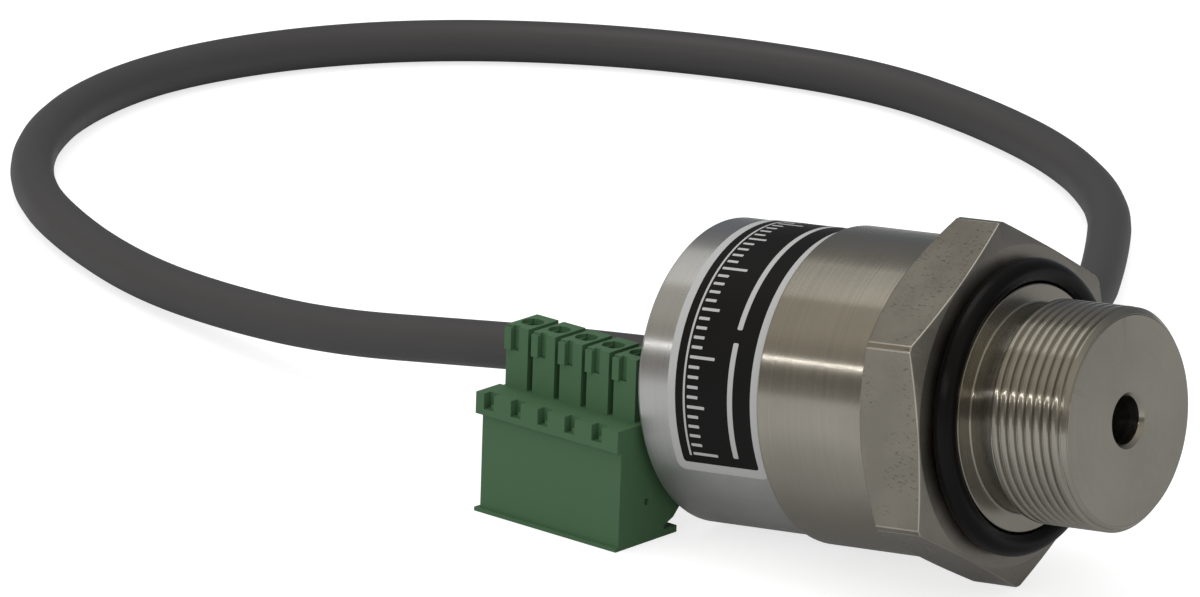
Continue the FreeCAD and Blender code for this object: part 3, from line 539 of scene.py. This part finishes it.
def turned_object(name: str, column: Callable[[float], Outline], angles: Sequence[float]) -> Object:
    """A closed body of revolution whose outline may change with the angle.

    Args:
        name: The piece's name.
        column: Gives the closed outline at an angle, always with as many points.
        angles: The angles of the columns, in degrees, once round.

    Returns:
        The object, laid down in the sensor's resting pose.
    """
    columns = [column(angle) for angle in angles]
    height, count = len(columns[0]), len(angles)
    points = [
        round_point(station, radius, angle)
        for angle, outline in zip(angles, columns)
        for station, radius in outline
    ]
    lengths = [0.0]
    first = columns[0]
    for index in range(height):
        step = Vector(first[(index + 1) % height]) - Vector(first[index])
        lengths.append(lengths[-1] + step.length)
    faces, coordinates = [], []
    for across in range(count):
        beside = (across + 1) % count
        left = angles[across] / 360.0
        right = angles[beside] / 360.0 if beside else 1.0
        for up in range(height):
            above = (up + 1) % height
            here, there = across * height, beside * height
            faces.append((here + up, here + above, there + above, there + up))
            low, high = lengths[up] / TURNING_MM, lengths[up + 1] / TURNING_MM
            coordinates += [left, low, left, high, right, high, right, low]
    mesh = bpy.data.meshes.new(name)
    mesh.from_pydata(points, [], faces)
    layer = mesh.uv_layers.new(name=TURNING)
    layer.data.foreach_set("uv", coordinates)
    mesh.validate()
    return laid_down(name, mesh)


def laid_down(name: str, mesh: Mesh) -> Object:
    """Makes an object of a mesh in the sensor's own frame.

    Args:
        name: The piece's name.
        mesh: Its mesh, in millimetres.

    Returns:
        The object, smooth and in its resting place.
    """
    mesh.transform(Rest.matrix())
    piece = added(name, mesh)
    mesh.shade_smooth()
    weighted = piece.modifiers.new("face_weight", "WEIGHTED_NORMAL")
    weighted.keep_sharp = True
    return piece


def even_angles(count: int) -> list[float]:
    """Equal steps once round, in degrees."""
    return [index * 360.0 / count for index in range(count)]


class Part(ABC):
    """A sub-assembly that builds and dresses its own pieces."""

    @abstractmethod
    def build(self) -> list[Object]:
        """Builds the sub-assembly and returns its pieces."""

    def seat(self, piece: Object, slot: str, finish: Finish, *nodes: str) -> Object:
        """Gives a piece its finish, its body and the CAD nodes that it stands for.

        Args:
            piece: The piece.
            slot: The record's material slot; not used.
            finish: Its finish.
            *nodes: CAD nodes that it replaces.

        Returns:
            The same piece.
        """
        piece.data.materials.clear()
        piece.data.materials.append(finish.material())
        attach(piece, "root")
        if nodes:
            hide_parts(*nodes)
        return piece


# Sub-assemblies


@dataclass
class Fitting(Part):
    """The turned fitting: thread, relief, collar, hexagon and skirt, bored for gas and cell."""

    thread_radius: float = 11.0
    thread_depth: float = 0.40
    pitch: float = 1.0
    crest_half: float = 0.23
    root_half: float = 0.04
    thread_start: float = 4.3
    end_face: float = 13.4
    end_chamfer: float = 0.7
    relief_radius: float = 10.25
    collar_radius: float = 12.2
    collar_length: float = 1.9
    across_flats: float = 32.0
    corner_radius: float = 18.3
    face_radius: float = 15.85
    front_chamfer: float = 0.55
    rear_chamfer: float = 1.4
    hex_length: float = 7.1
    skirt_radius: float = 15.8
    skirt_end: float = -19.6
    bore_radius: float = 2.4
    bore_chamfer: float = 0.4
    # Radius and floor of the housing's socket, the cell's space and pocket, and the gas space
    bores: tuple[tuple[float, float], ...] = ((14.29, -13.6), (13.0, -9.6), (9.6, -1.6), (6.8, -1.1))
    rows_per_pitch: int = 14
    edge: float = 0.16
    # Half-width in degrees of the painted highlight on the hexagon's corner edges, and how far back from
    # the front it runs on the rim, in mm.
    highlight_degrees: float = 0.25
    highlight_depth: float = 1.6
    first_row: float = 0.06
    run_out_slope: float = 1.2

    def build(self) -> list[Object]:
        """Builds the fitting.

        Returns:
            The fitting as one piece.
        """
        piece = turned_object("fitting_skin", self.column, self.angles())
        self.seat(piece, "steel", STEEL, "fitting")
        self.mark_flats(piece)
        return [piece]

    def mark_flats(self, piece: Object) -> None:
        """Gives the hexagon drawn flats, a faced front, and a painted highlight on its corner edges and
        front rim.

        Args:
            piece: The fitting.
        """
        first = len(piece.data.materials)
        for finish in (BAR_STEEL, FACED_STEEL, PAINTED_EDGE_HIGHLIGHT):
            piece.data.materials.append(finish.material())
        bar, faced, edge_highlight = range(first, first + 3)
        strip = self.strip()
        back = Rest.matrix().inverted()
        for face in piece.data.polygons:
            centre = back @ face.center
            radius = math.hypot(centre.y, centre.z)
            normal = (back.to_3x3() @ face.normal).normalized()
            if not -self.hex_length < centre.x < 0.1 or radius < self.collar_radius + 0.1:
                continue
            turn = math.degrees(math.atan2(-centre.y, centre.z)) % 60.0
            from_strip = abs(min(turn, 60.0 - turn) - strip)
            on_corner = from_strip < self.highlight_degrees and abs(normal.x) < 0.9
            on_rim = 0.12 < abs(normal.x) < 0.80 and radius > self.face_radius + 0.1
            # Corner edges and the front rim get the painted edge highlight colour.
            if on_corner or (on_rim and centre.x > -self.highlight_depth):
                face.material_index = edge_highlight
            elif abs(normal.x) < 0.5 and radius > self.face_radius:
                face.material_index = bar
            elif normal.x >= 0.5:
                face.material_index = faced

    def strip(self) -> float:
        """Half the angle, in degrees, of the narrow strip where a corner is turned off."""
        return 30.0 - math.degrees(math.acos(self.across_flats / 2.0 / self.corner_radius))

    def angles(self) -> list[float]:
        """Columns, with close ones at the strips where the hexagon's corners are turned off.

        Returns:
            The angles in degrees.
        """
        strip = self.strip()
        edge_highlight = self.highlight_degrees
        near = [0.0] + [strip + side for side in (-edge_highlight, -0.1, 0.0, 0.1, edge_highlight)]
        half = sorted(near + [1.9 + 1.4 * index for index in range(20)])
        sector = half + [30.0] + [60.0 - angle for angle in reversed(half) if angle > 0.0]
        return [60.0 * side + angle for side in range(6) for angle in sector]

    def thread_at(self, station: float, angle: float) -> float:
        """The thread's radius, right-handed, worn round at its crests.

        Args:
            station: Millimetres along the axis.
            angle: Degrees round the axis.

        Returns:
            The radius in millimetres.
        """
        phase = (station / self.pitch - angle / 360.0) % 1.0
        from_crest = min(phase, 1.0 - phase) * self.pitch
        slope = self.pitch / 2.0 - self.crest_half - self.root_half
        straight = min(max((from_crest - self.crest_half) / slope, 0.0), 1.0)
        smooth = straight * straight * (3.0 - 2.0 * straight)
        radius = self.thread_radius - self.thread_depth * (straight + smooth) / 2.0
        lead_in = self.thread_radius - self.end_chamfer + (self.end_face - station)
        run_out = self.relief_radius + self.run_out_slope * (station - self.thread_start)
        return min(radius, lead_in, max(run_out, self.relief_radius))

    def hexagon_at(self, angle: float) -> float:
        """The hexagon's radius, with its corners turned off and a slightly worn edge.

        Args:
            angle: Degrees round the axis; the corners are at 0, 60 and so on.

        Returns:
            The radius in millimetres.
        """
        offset = math.radians(angle % 60.0 - 30.0)
        flat = self.across_flats / 2.0 / math.cos(offset)
        softness = 0.05
        share = min(max(0.5 + 0.5 * (self.corner_radius - flat) / softness, 0.0), 1.0)
        mixed = self.corner_radius + (flat - self.corner_radius) * share
        return mixed - softness * share * (1.0 - share)

    def column(self, angle: float) -> Outline:
        """The fitting's closed outline at one angle.

        Args:
            angle: Degrees round the axis.

        Returns:
            Stations and radii.
        """
        hexagon = self.hexagon_at(angle)
        rise = (hexagon - self.face_radius) / (self.corner_radius - self.face_radius)
        fall = (self.corner_radius - hexagon) / (self.corner_radius - self.skirt_radius)
        front = -self.front_chamfer * rise
        rear = -(self.hex_length - self.rear_chamfer) - self.rear_chamfer * fall
        rows = [
            (self.thread_start, self.relief_radius, 0.05),
            (self.collar_length, self.relief_radius, 0.3),
            (self.collar_length, self.collar_radius, 0.16),
            (0.0, self.collar_radius, 0.12),
            (0.0, self.face_radius, self.edge),
            (front, hexagon, self.edge),
            (rear, hexagon, self.edge),
            (-self.hex_length, self.skirt_radius, 0.25),
            (self.skirt_end, self.skirt_radius, 0.2),
        ]
        floor = self.skirt_end
        for radius, next_floor in self.bores:
            rows += [(floor, radius, 0.1), (next_floor, radius, 0.1)]
            floor = next_floor
        rows += [
            (floor, self.bore_radius, 0.05),
            (self.end_face - self.bore_chamfer, self.bore_radius, 0.05),
            (self.end_face, self.bore_radius + self.bore_chamfer, 0.06),
            (self.end_face, self.thread_radius - self.end_chamfer, 0.1),
        ]
        count = round((self.end_face - self.thread_start) / self.pitch * self.rows_per_pitch)
        step = (self.end_face - self.thread_start) / count
        stations = [self.end_face - self.first_row - step * index for index in range(count)]
        threaded = [(station, self.thread_at(station, angle)) for station in stations]
        return eased(rows) + threaded


@dataclass
class RearHousing(Part):
    """The rear housing: a shell whose spigot sits in the fitting's skirt."""

    radius: float = 15.2
    front: float = -19.6
    rear: float = -34.8
    rim: float = 0.5
    seat_radius: float = 13.9
    seat_floor: float = -30.8
    groove_radius: float = 14.5
    groove_rear: float = -34.15
    groove_front: float = -33.2
    bore_radius: float = 13.0
    spigot_radius: float = 14.25
    spigot_end: float = -14.0
    columns: int = 240

    def build(self) -> list[Object]:
        """Builds the shell.

        Returns:
            The shell as one piece.
        """
        rows = [
            (self.rear, self.seat_radius, 0.06),
            (self.groove_rear, self.seat_radius, 0.04),
            (self.groove_rear, self.groove_radius, 0.04),
            (self.groove_front, self.groove_radius, 0.04),
            (self.groove_front, self.seat_radius, 0.04),
            (self.seat_floor, self.seat_radius, 0.05),
            (self.seat_floor, self.bore_radius, 0.1),
            (self.spigot_end, self.bore_radius, 0.1),
            (self.spigot_end, self.spigot_radius, 0.1),
            (self.front, self.spigot_radius, 0.1),
            (self.front, self.radius, 0.12),
            (self.rear + self.rim, self.radius, 0.2),
            (self.rear, self.radius - self.rim, 0.12),
        ]
        outline = eased(rows)
        piece = turned_object("rear_housing_skin", lambda angle: outline, even_angles(self.columns))
        return [self.seat(piece, "steel", HOUSING_STEEL, "rear_housing")]


@dataclass
class SealingRing(Part):
    """The round rubber ring between the collar and the hexagon."""

    centre_radius: float = 13.42
    section_radius: float = 1.2
    station: float = 1.22
    points: int = 32
    columns: int = 200

    def build(self) -> list[Object]:
        """Builds the ring.

        Returns:
            The ring as one piece.
        """
        outline: Outline = []
        for index in range(self.points):
            turn = 2.0 * math.pi * index / self.points
            outline.append((
                self.station + self.section_radius * math.cos(turn),
                self.centre_radius + self.section_radius * math.sin(turn),
            ))
        piece = turned_object("sealing_ring_skin", lambda angle: outline, even_angles(self.columns))
        return [self.seat(piece, "seal", SEAL, "sealing_ring")]


@dataclass
class LabelPatch:
    """A thin patch round the rear housing with rounded corners."""

    name: str
    rear: float
    front: float
    low_angle: float
    high_angle: float
    inner: float
    outer: float
    corner: float
    corner_steps: int = 8
    stride: float = 0.5

    def mesh(self) -> Mesh:
        """Builds the patch as a closed thin solid.

        Returns:
            The mesh in millimetres.
        """
        arc = math.radians(self.low_angle - self.high_angle) * self.outer
        quarter, steps = math.pi / 2.0, self.corner_steps
        ends = [self.corner * (1.0 - math.cos(quarter * step / steps)) for step in range(steps + 1)]
        middle = max(int(arc / self.stride), 2)
        inside = [self.corner + (arc - 2.0 * self.corner) * step / middle for step in range(1, middle)]
        distances = ends + inside + [arc - distance for distance in reversed(ends)]
        points: Corners = []
        for distance in distances:
            near = min(distance, arc - distance)
            missing = max(self.corner - near, 0.0)
            inset = self.corner - math.sqrt(max(self.corner ** 2 - missing ** 2, 0.0))
            inset = min(inset, (self.front - self.rear) / 2.0 - 0.01)
            angle = self.low_angle - math.degrees(distance / self.outer)
            for radius in (self.inner, self.outer):
                points.append(round_point(self.rear + inset, radius, angle))
                points.append(round_point(self.front - inset, radius, angle))
        last = 4 * (len(distances) - 1)
        sides = ((2, 3, 7, 6), (0, 4, 5, 1), (0, 2, 6, 4), (1, 5, 7, 3))
        faces = [tuple(row + corner for corner in side) for row in range(0, last, 4) for side in sides]
        faces += [(0, 1, 3, 2), (last, last + 2, last + 3, last + 1)]
        mesh = bpy.data.meshes.new(self.name)
        mesh.from_pydata(points, [], faces)
        mesh.validate()
        return mesh


@dataclass
class Label(Part):
    """The film round the rear housing: pale border, black field and plain marks."""

    rear: float = -30.8
    front: float = -19.8
    low_angle: float = 115.0
    span: float = 170.0
    radius: float = 15.2
    thickness: float = 0.1
    border: float = 0.95
    film_depth: float = 0.03
    black_depths: tuple[float, float] = (0.031, 0.018)
    mark_depths: tuple[float, float] = (0.019, 0.006)
    ticks: int = 41
    tick_pitch: float = 3.7

    def build(self) -> list[Object]:
        """Builds the film, its printed field and the marks on it.

        Returns:
            The pieces.
        """
        outside = self.radius + self.thickness
        margin = math.degrees(self.border / outside)
        high = self.low_angle - self.span
        film = LabelPatch("label_film", self.rear, self.front, self.low_angle, high,
                          self.radius, outside - self.film_depth, 0.9)
        black = LabelPatch("label_field", self.rear + self.border, self.front - self.border,
                           self.low_angle - margin * 1.1, high + margin,
                           *(outside - depth for depth in self.black_depths), 0.35)
        pieces = [self.finish_patch(film, LABEL_BORDER, "label"), self.finish_patch(black, LABEL_FIELD)]
        for number, (start, width, low, length) in enumerate(self.marks()):
            corner = 0.25 * min(width, math.radians(length) * outside)
            mark = LabelPatch(f"label_mark_{number}", start, start + width, low, low - length,
                              *(outside - depth for depth in self.mark_depths), corner)
            pieces.append(self.finish_patch(mark, LABEL_BORDER))
        return pieces

    def marks(self) -> list[tuple[float, float, float, float]]:
        """Plain bars and ticks, like a scale, in place of print.

        Returns:
            Station, width, lowest angle and length in degrees of each mark.
        """
        rows = [
            (-28.9, 0.24, 108.0, 150.0),
            (-23.5, 0.62, 107.0, 44.0),
            (-23.5, 0.62, 58.0, 92.0),
        ]
        for index in range(self.ticks):
            reach = 3.0 if index % 10 == 0 else 2.1 if index % 5 == 0 else 1.3
            rows.append((-28.4, reach, 107.6 - self.tick_pitch * index, 1.15))
        return rows

    def finish_patch(self, patch: LabelPatch, finish: Finish, *nodes: str) -> Object:
        """Lays one patch down and dresses it.

        Args:
            patch: The patch.
            finish: Its finish.
            *nodes: CAD nodes that it replaces.

        Returns:
            The piece.
        """
        piece = laid_down(patch.name, patch.mesh())
        piece.data.set_sharp_from_angle(angle=math.radians(40.0))
        return self.seat(piece, "label", finish, *nodes)


class Route:
    """Control points of the cable and its wires, in millimetres in the world."""

    CABLE = [
        (-15.92, 0.0, 15.68), (-36.80, 0.0, 13.42), (-56.9, 1.4, 10.0), (-75.7, 4.9, 6.2),
        (-93.0, 9.9, 3.8), (-109.2, 14.9, 2.6), (-124.6, 22.1, 2.4), (-138.9, 31.5, 2.4),
        (-150.3, 45.0, 2.4), (-157.6, 61.0, 2.4), (-159.7, 78.5, 2.4), (-155.2, 95.8, 2.4),
        (-145.6, 110.3, 2.4), (-131.6, 121.4, 2.4), (-114.8, 128.8, 2.4), (-97.1, 132.0, 2.4),
        (-79.9, 128.0, 2.4), (-63.7, 120.7, 2.4), (-49.3, 108.6, 2.4), (-39.1, 92.8, 2.4),
        (-29.9, 76.3, 2.4), (-27.7, 57.4, 2.4), (-27.5, 39.4, 2.4), (-29.183, 24.791, 2.4),
        (-29.968, 9.811, 2.4),
    ]

    @staticmethod
    def curve(name: str, runs: Iterable[Sequence[Sequence[float]]], radius: float) -> Object:
        """A smooth round line, or several, through the air.

        Args:
            name: The piece's name.
            runs: Control points of each line, in millimetres.
            radius: The line's radius in millimetres.

        Returns:
            The curve object.
        """
        data = bpy.data.curves.new(name, "CURVE")
        data.dimensions = "3D"
        data.bevel_depth = radius * MM
        data.bevel_resolution = 7
        data.resolution_u = 10
        data.use_fill_caps = True
        for run in runs:
            spline = data.splines.new("NURBS")
            spline.points.add(len(run) - 1)
            for target, place in zip(spline.points, run):
                target.co = (*(value * MM for value in place), 1.0)
            spline.order_u = 3
            spline.use_endpoint_u = True
        return added(name, data)


@dataclass
class PlugPlace:
    """Where the plug stands on the table, in millimetres."""

    corner: tuple[float, float] = (-39.977, -15.9)
    yaw_degrees: float = -3.0
    depth: float = 9.4
    first_pole: float = 1.65
    pitch: float = 3.5
    wire_height: float = 5.0

    def point(self, along: float, back: float, up: float) -> Vector:
        """A point of the plug's own frame, in the world, in millimetres."""
        turn = Matrix.Rotation(math.radians(self.yaw_degrees), 3, "Z")
        return turn @ Vector((along, back, up)) + Vector((*self.corner, 0.0))

    def pole(self, number: int) -> float:
        """How far along the plug a pole is, in millimetres."""
        return self.first_pole + number * self.pitch

    def behind(self) -> Vector:
        """The direction from the plug's rear towards the cable."""
        return self.point(0.0, 1.0, 0.0) - self.point(0.0, 0.0, 0.0)


class WireColour(Enum):
    """The five wires, by their pole in the plug."""

    RED = 0
    GREEN = 1
    WHITE = 2
    BLACK = 3
    BROWN = 4


@dataclass
class Cable(Part):
    """The cable with its five wires and the plug on its end."""

    radius: float = 2.4
    length: float = 0.4306
    wire_radius: float = 0.62
    lay_radius: float = 1.3
    lay_angles: tuple[int, ...] = (162, 234, 90, 306, 18)
    fan: float = 16.8
    straight: float = 4.6
    wire_depth: float = 3.8
    terminal_pitch: float = 1.7
    terminal_level: float = -1.5
    stations: tuple[float, ...] = (-29.0, -25.6, -21.4, -16.6)
    outlet: float = -39.8
    place: PlugPlace = field(default_factory=PlugPlace)

    def build(self) -> list[Object]:
        """Returns:
            The pieces.
        """
        jacket = Route.curve("cable_jacket_skin", [Route.CABLE], self.radius)
        self.seat(jacket, "jacket", JACKET, "cable_jacket")
        wires = [self.wire(colour) for colour in WireColour]
        plug = [bpy.data.objects[name] for name in Plug.NODES]
        leaves = Rest.point(self.outlet)
        return [jacket, *wires]

    def wire(self, colour: WireColour) -> Object:
        """One wire: its end in the plug and its end at the board.

        Args:
            colour: Which wire.

        Returns:
            The wire as one piece with two lines.
        """
        turn = math.radians(self.lay_angles[colour.value])
        across, up = self.lay_radius * math.cos(turn), self.lay_radius * math.sin(turn)
        place = self.place
        behind = place.behind()
        sideways = place.point(1.0, 0.0, 0.0) - place.point(0.0, 0.0, 0.0)
        rear = place.point(place.pole(2), place.depth, 0.0)
        end = rear + behind * self.fan + Vector((0.0, 0.0, self.radius))
        entry = place.point(place.pole(colour.value), place.depth, place.wire_height)
        leave = end + sideways * across + Vector((0.0, 0.0, up))
        stretch = behind * self.straight
        outside = [leave, leave - stretch, entry + stretch, entry - behind * self.wire_depth]
        goal = ((colour.value - 2) * self.terminal_pitch, self.terminal_level)
        offsets = ((across, up), (across, up), goal, goal)
        inside = [Rest.point(station, *offset) / MM for station, offset in zip(self.stations, offsets)]
        name = colour.name.lower()
        piece = Route.curve(f"wire_{name}_skin", [outside, inside], self.wire_radius)
        return self.seat(piece, name, SLOT_FINISHES[name], f"wire_{name}")


@dataclass
class CadPieces(Part):
    """CAD nodes whose shape is right: they keep it and get a finish and softer edges."""

    soft_edges: dict[str, float] = field(default_factory=lambda: {
        "gland_nut": 0.15, "cover_circlip": 0.08, "board_terminal": 0.1, "amplifier_chips": 0.08,
        "amplifier_board": 0.05, "cell_header": 0.1, "clamp_cages": 0.05, "rear_cover": 0.12,
    })
    joined_mm: float = 0.002
    flat_degrees: float = 1.0
    hard_degrees: float = 38.0

    def build(self) -> list[Object]:
        """Dresses every CAD node by its slot in the record.

        Returns:
            The nodes' objects.
        """
        dressed = []
        for subpart in FRAME["record"]["subparts"]:
            node = FRAME["nodes"][subpart["node"]]
            finish = SLOT_FINISHES[subpart["material_slot"]]
            node.data.materials.clear()
            node.data.materials.append(finish.material())
            if subpart["node"] in self.soft_edges:
                self.soften(node, self.soft_edges[subpart["node"]])
            dressed.append(node)
        return dressed

    def soften(self, piece: Object, width_mm: float) -> None:
        """Joins a piece's faces, makes its flat ones whole and rounds its hard edges, by modifiers.

        Args:
            piece: The piece, with its mesh in metres.
            width_mm: The rounding's width.
        """
        joined = piece.modifiers.new("joined", "WELD")
        joined.merge_threshold = self.joined_mm * MM
        whole = piece.modifiers.new("whole_faces", "DECIMATE")
        whole.decimate_type = "DISSOLVE"
        whole.angle_limit = math.radians(self.flat_degrees)
        bevel = piece.modifiers.new("soft_edges", "BEVEL")
        bevel.width = width_mm * MM
        bevel.segments = 2
        bevel.limit_method = "ANGLE"
        bevel.angle_limit = math.radians(self.hard_degrees)
        bevel.harden_normals = True
        bevel.use_clamp_overlap = True


class Plug(Part):
    """The five-pole plug; its housing and metal are CAD nodes."""

    NODES = ("plug_housing", "clamp_cages", "clamp_screws", "plug_contacts", "wire_ferrules")

    def build(self) -> list[Object]:
        """Gathers the plug's pieces, which CadPieces has dressed."""
        return [FRAME["nodes"][name] for name in self.NODES]


# Studio


@dataclass
class SoftBox:
    """A rectangular lamp that faces the sensor, with its long side along the sensor's length."""

    name: str
    place: tuple[float, float, float]
    width: float
    height: float
    watts: float

    def build(self) -> None:
        """Hangs the lamp."""
        data = bpy.data.lights.new(self.name, "AREA")
        data.shape = "RECTANGLE"
        data.size, data.size_y = self.width, self.height
        data.energy = self.watts
        lamp = added(self.name, data)
        along = Vector((1.0, 0.0, 0.0))
        away = Vector((0.0, self.place[1], self.place[2])).normalized()
        turn = Matrix((along, away.cross(along), away)).transposed().to_4x4()
        lamp.matrix_world = Matrix.Translation(self.place) @ turn


@dataclass
class Studio:
    """Floor, room, lamps and camera."""

    camera_place: tuple[float, float, float] = (534.51, -767.1, 314.21)
    azimuth: float = 126.726
    elevation: float = 17.144
    roll: float = -1.912
    focal_pixels: float = 10000.0
    image_width: float = 1200.0
    sensor_width: float = 36.0
    floor_half: float = 6.0
    floor_drop: float = 0.00003
    floor_tone: float = 0.55
    floor_glow: float = 0.72
    mirrored_far: float = 0.30
    mirrored_near: float = 0.08
    mirrored_between: tuple[float, float] = (-0.052, -0.015)
    diffuse_light: float = 0.80

    # The room's colours over an arc from the horizon behind the object to the one in front
    ROOM = (
        (0.00, (0.27, 0.28, 0.30)),
        (0.12, (0.20, 0.215, 0.24)),
        (0.24, (0.27, 0.27, 0.28)),
        (0.40, (0.42, 0.41, 0.39)),
        (0.58, (0.63, 0.60, 0.54)),
        (0.72, (0.61, 0.58, 0.52)),
        (0.82, (0.46, 0.43, 0.38)),
        (0.92, (0.28, 0.26, 0.24)),
        (1.00, (0.40, 0.38, 0.36)),
    )

    def build(self) -> None:
        """Sets up everything round the object."""
        bpy.context.scene.view_settings.view_transform = "Standard"
        self.floor()
        self.room()
        for lamp in self.lamps():
            lamp.build()
        self.camera()

    def lamps(self) -> list[SoftBox]:
        """The studio's soft lamps.

        Returns:
            The lamps.
        """
        return [
            SoftBox("key_strip", (-0.15, -0.906, 0.444), 1.5, 0.012, 1.3),
            SoftBox("top_box", (-0.40, 0.0, 1.10), 0.9, 0.7, 2.0),
        ]

    def shown_rays(self, nodes: Nodes) -> NodeSocket:
        """1 for rays that show the white background: the camera's and those through glass."""
        rays = nodes.add("ShaderNodeLightPath")
        return nodes.math("MAXIMUM", rays.outputs["Is Camera Ray"], rays.outputs["Is Transmission Ray"])

    def floor(self) -> None:
        """A wide pale floor that looks white and keeps a soft shadow."""
        half = self.floor_half
        mesh = bpy.data.meshes.new("studio_floor")
        square = [(-half, -half, 0.0), (half, -half, 0.0), (half, half, 0.0), (-half, half, 0.0)]
        mesh.from_pydata(square, [], [(0, 1, 2, 3)])
        floor = added("studio_floor", mesh)
        floor.location.z = -self.floor_drop
        material = bpy.data.materials.new("studio_floor")
        material.use_nodes = True
        nodes = Nodes(material.node_tree)
        output = nodes.add("ShaderNodeOutputMaterial")
        paper = nodes.add("ShaderNodeBsdfDiffuse")
        paper.inputs["Color"].default_value = (*(self.floor_tone,) * 3, 1.0)
        glow = nodes.add("ShaderNodeEmission")
        seen = nodes.math("MULTIPLY", self.shown_rays(nodes), self.floor_glow)
        depth = nodes.add("ShaderNodeSeparateXYZ")
        nodes.link(nodes.place(), depth.inputs[0])
        mirrored = nodes.spread(depth.outputs["Y"], self.mirrored_far, self.mirrored_near,
                                *self.mirrored_between)
        rays = nodes.add("ShaderNodeLightPath")
        in_metal = nodes.math("MULTIPLY", rays.outputs["Is Glossy Ray"], mirrored)
        nodes.link(nodes.math("MAXIMUM", seen, in_metal), glow.inputs["Strength"])
        both = nodes.add("ShaderNodeAddShader")
        nodes.link(paper.outputs[0], both.inputs[0])
        nodes.link(glow.outputs[0], both.inputs[1])
        nodes.link(both.outputs[0], output.inputs["Surface"])
        mesh.materials.append(material)

    def room(self) -> None:
        """A white background, a plain room for the steel to mirror, and even light for the rest."""
        world = bpy.data.worlds.new("studio_room")
        bpy.context.scene.world = world
        world.use_nodes = True
        nodes = Nodes(world.node_tree)
        output = nodes.add("ShaderNodeOutputWorld")
        direction = nodes.add("ShaderNodeTexCoord").outputs["Generated"]
        parts = nodes.add("ShaderNodeSeparateXYZ")
        nodes.link(direction, parts.inputs[0])
        turn = nodes.math("ARCTAN2", parts.outputs["Z"], parts.outputs["Y"])
        over = nodes.math("DIVIDE", turn, math.pi)
        room = nodes.ramp(over, self.ROOM)
        rays = nodes.add("ShaderNodeLightPath")
        seen = nodes.blend_colors(self.shown_rays(nodes), room, (1.0, 1.0, 1.0))
        lit = nodes.blend_colors(rays.outputs["Is Diffuse Ray"], seen, (self.diffuse_light,) * 3)
        background = nodes.add("ShaderNodeBackground")
        nodes.link(lit, background.inputs["Color"])
        nodes.link(background.outputs[0], output.inputs["Surface"])

    def camera(self) -> None:
        """A long lens at the photograph's place, with its slight roll."""
        azimuth, elevation, roll = map(math.radians, (self.azimuth, self.elevation, self.roll))
        level = Vector((math.sin(azimuth), -math.cos(azimuth), 0.0))
        reach = math.cos(elevation)
        ahead = Vector((reach * math.cos(azimuth), reach * math.sin(azimuth), -math.sin(elevation)))
        down = ahead.cross(level)
        across = level * math.cos(roll) + down * math.sin(roll)
        lower = down * math.cos(roll) - level * math.sin(roll)
        turn = Matrix((across, -lower, -ahead)).transposed().to_4x4()
        data = bpy.data.cameras.new("photo_camera")
        data.sensor_width = self.sensor_width
        data.lens = self.focal_pixels / self.image_width * self.sensor_width
        data.clip_start, data.clip_end = 0.05, 50.0
        camera = added("photo_camera", data)
        camera.matrix_world = Matrix.Translation(Vector(self.camera_place) * MM) @ turn
        bpy.context.scene.camera = camera


def main() -> None:
    """Builds the sensor, the cable and the studio, and logs the name of each piece."""
    logging.basicConfig(level=logging.INFO, format="%(name)s: %(message)s")
    FRAME.update(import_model())
    for part in (CadPieces(), Plug(), Fitting(), RearHousing(), SealingRing(), Label(), Cable()):
        pieces = part.build()
        for piece in pieces:
            LOG.info("%s: %s", type(part).__name__, piece.name)
    Studio().build()


if __name__ == "__main__":
    main()
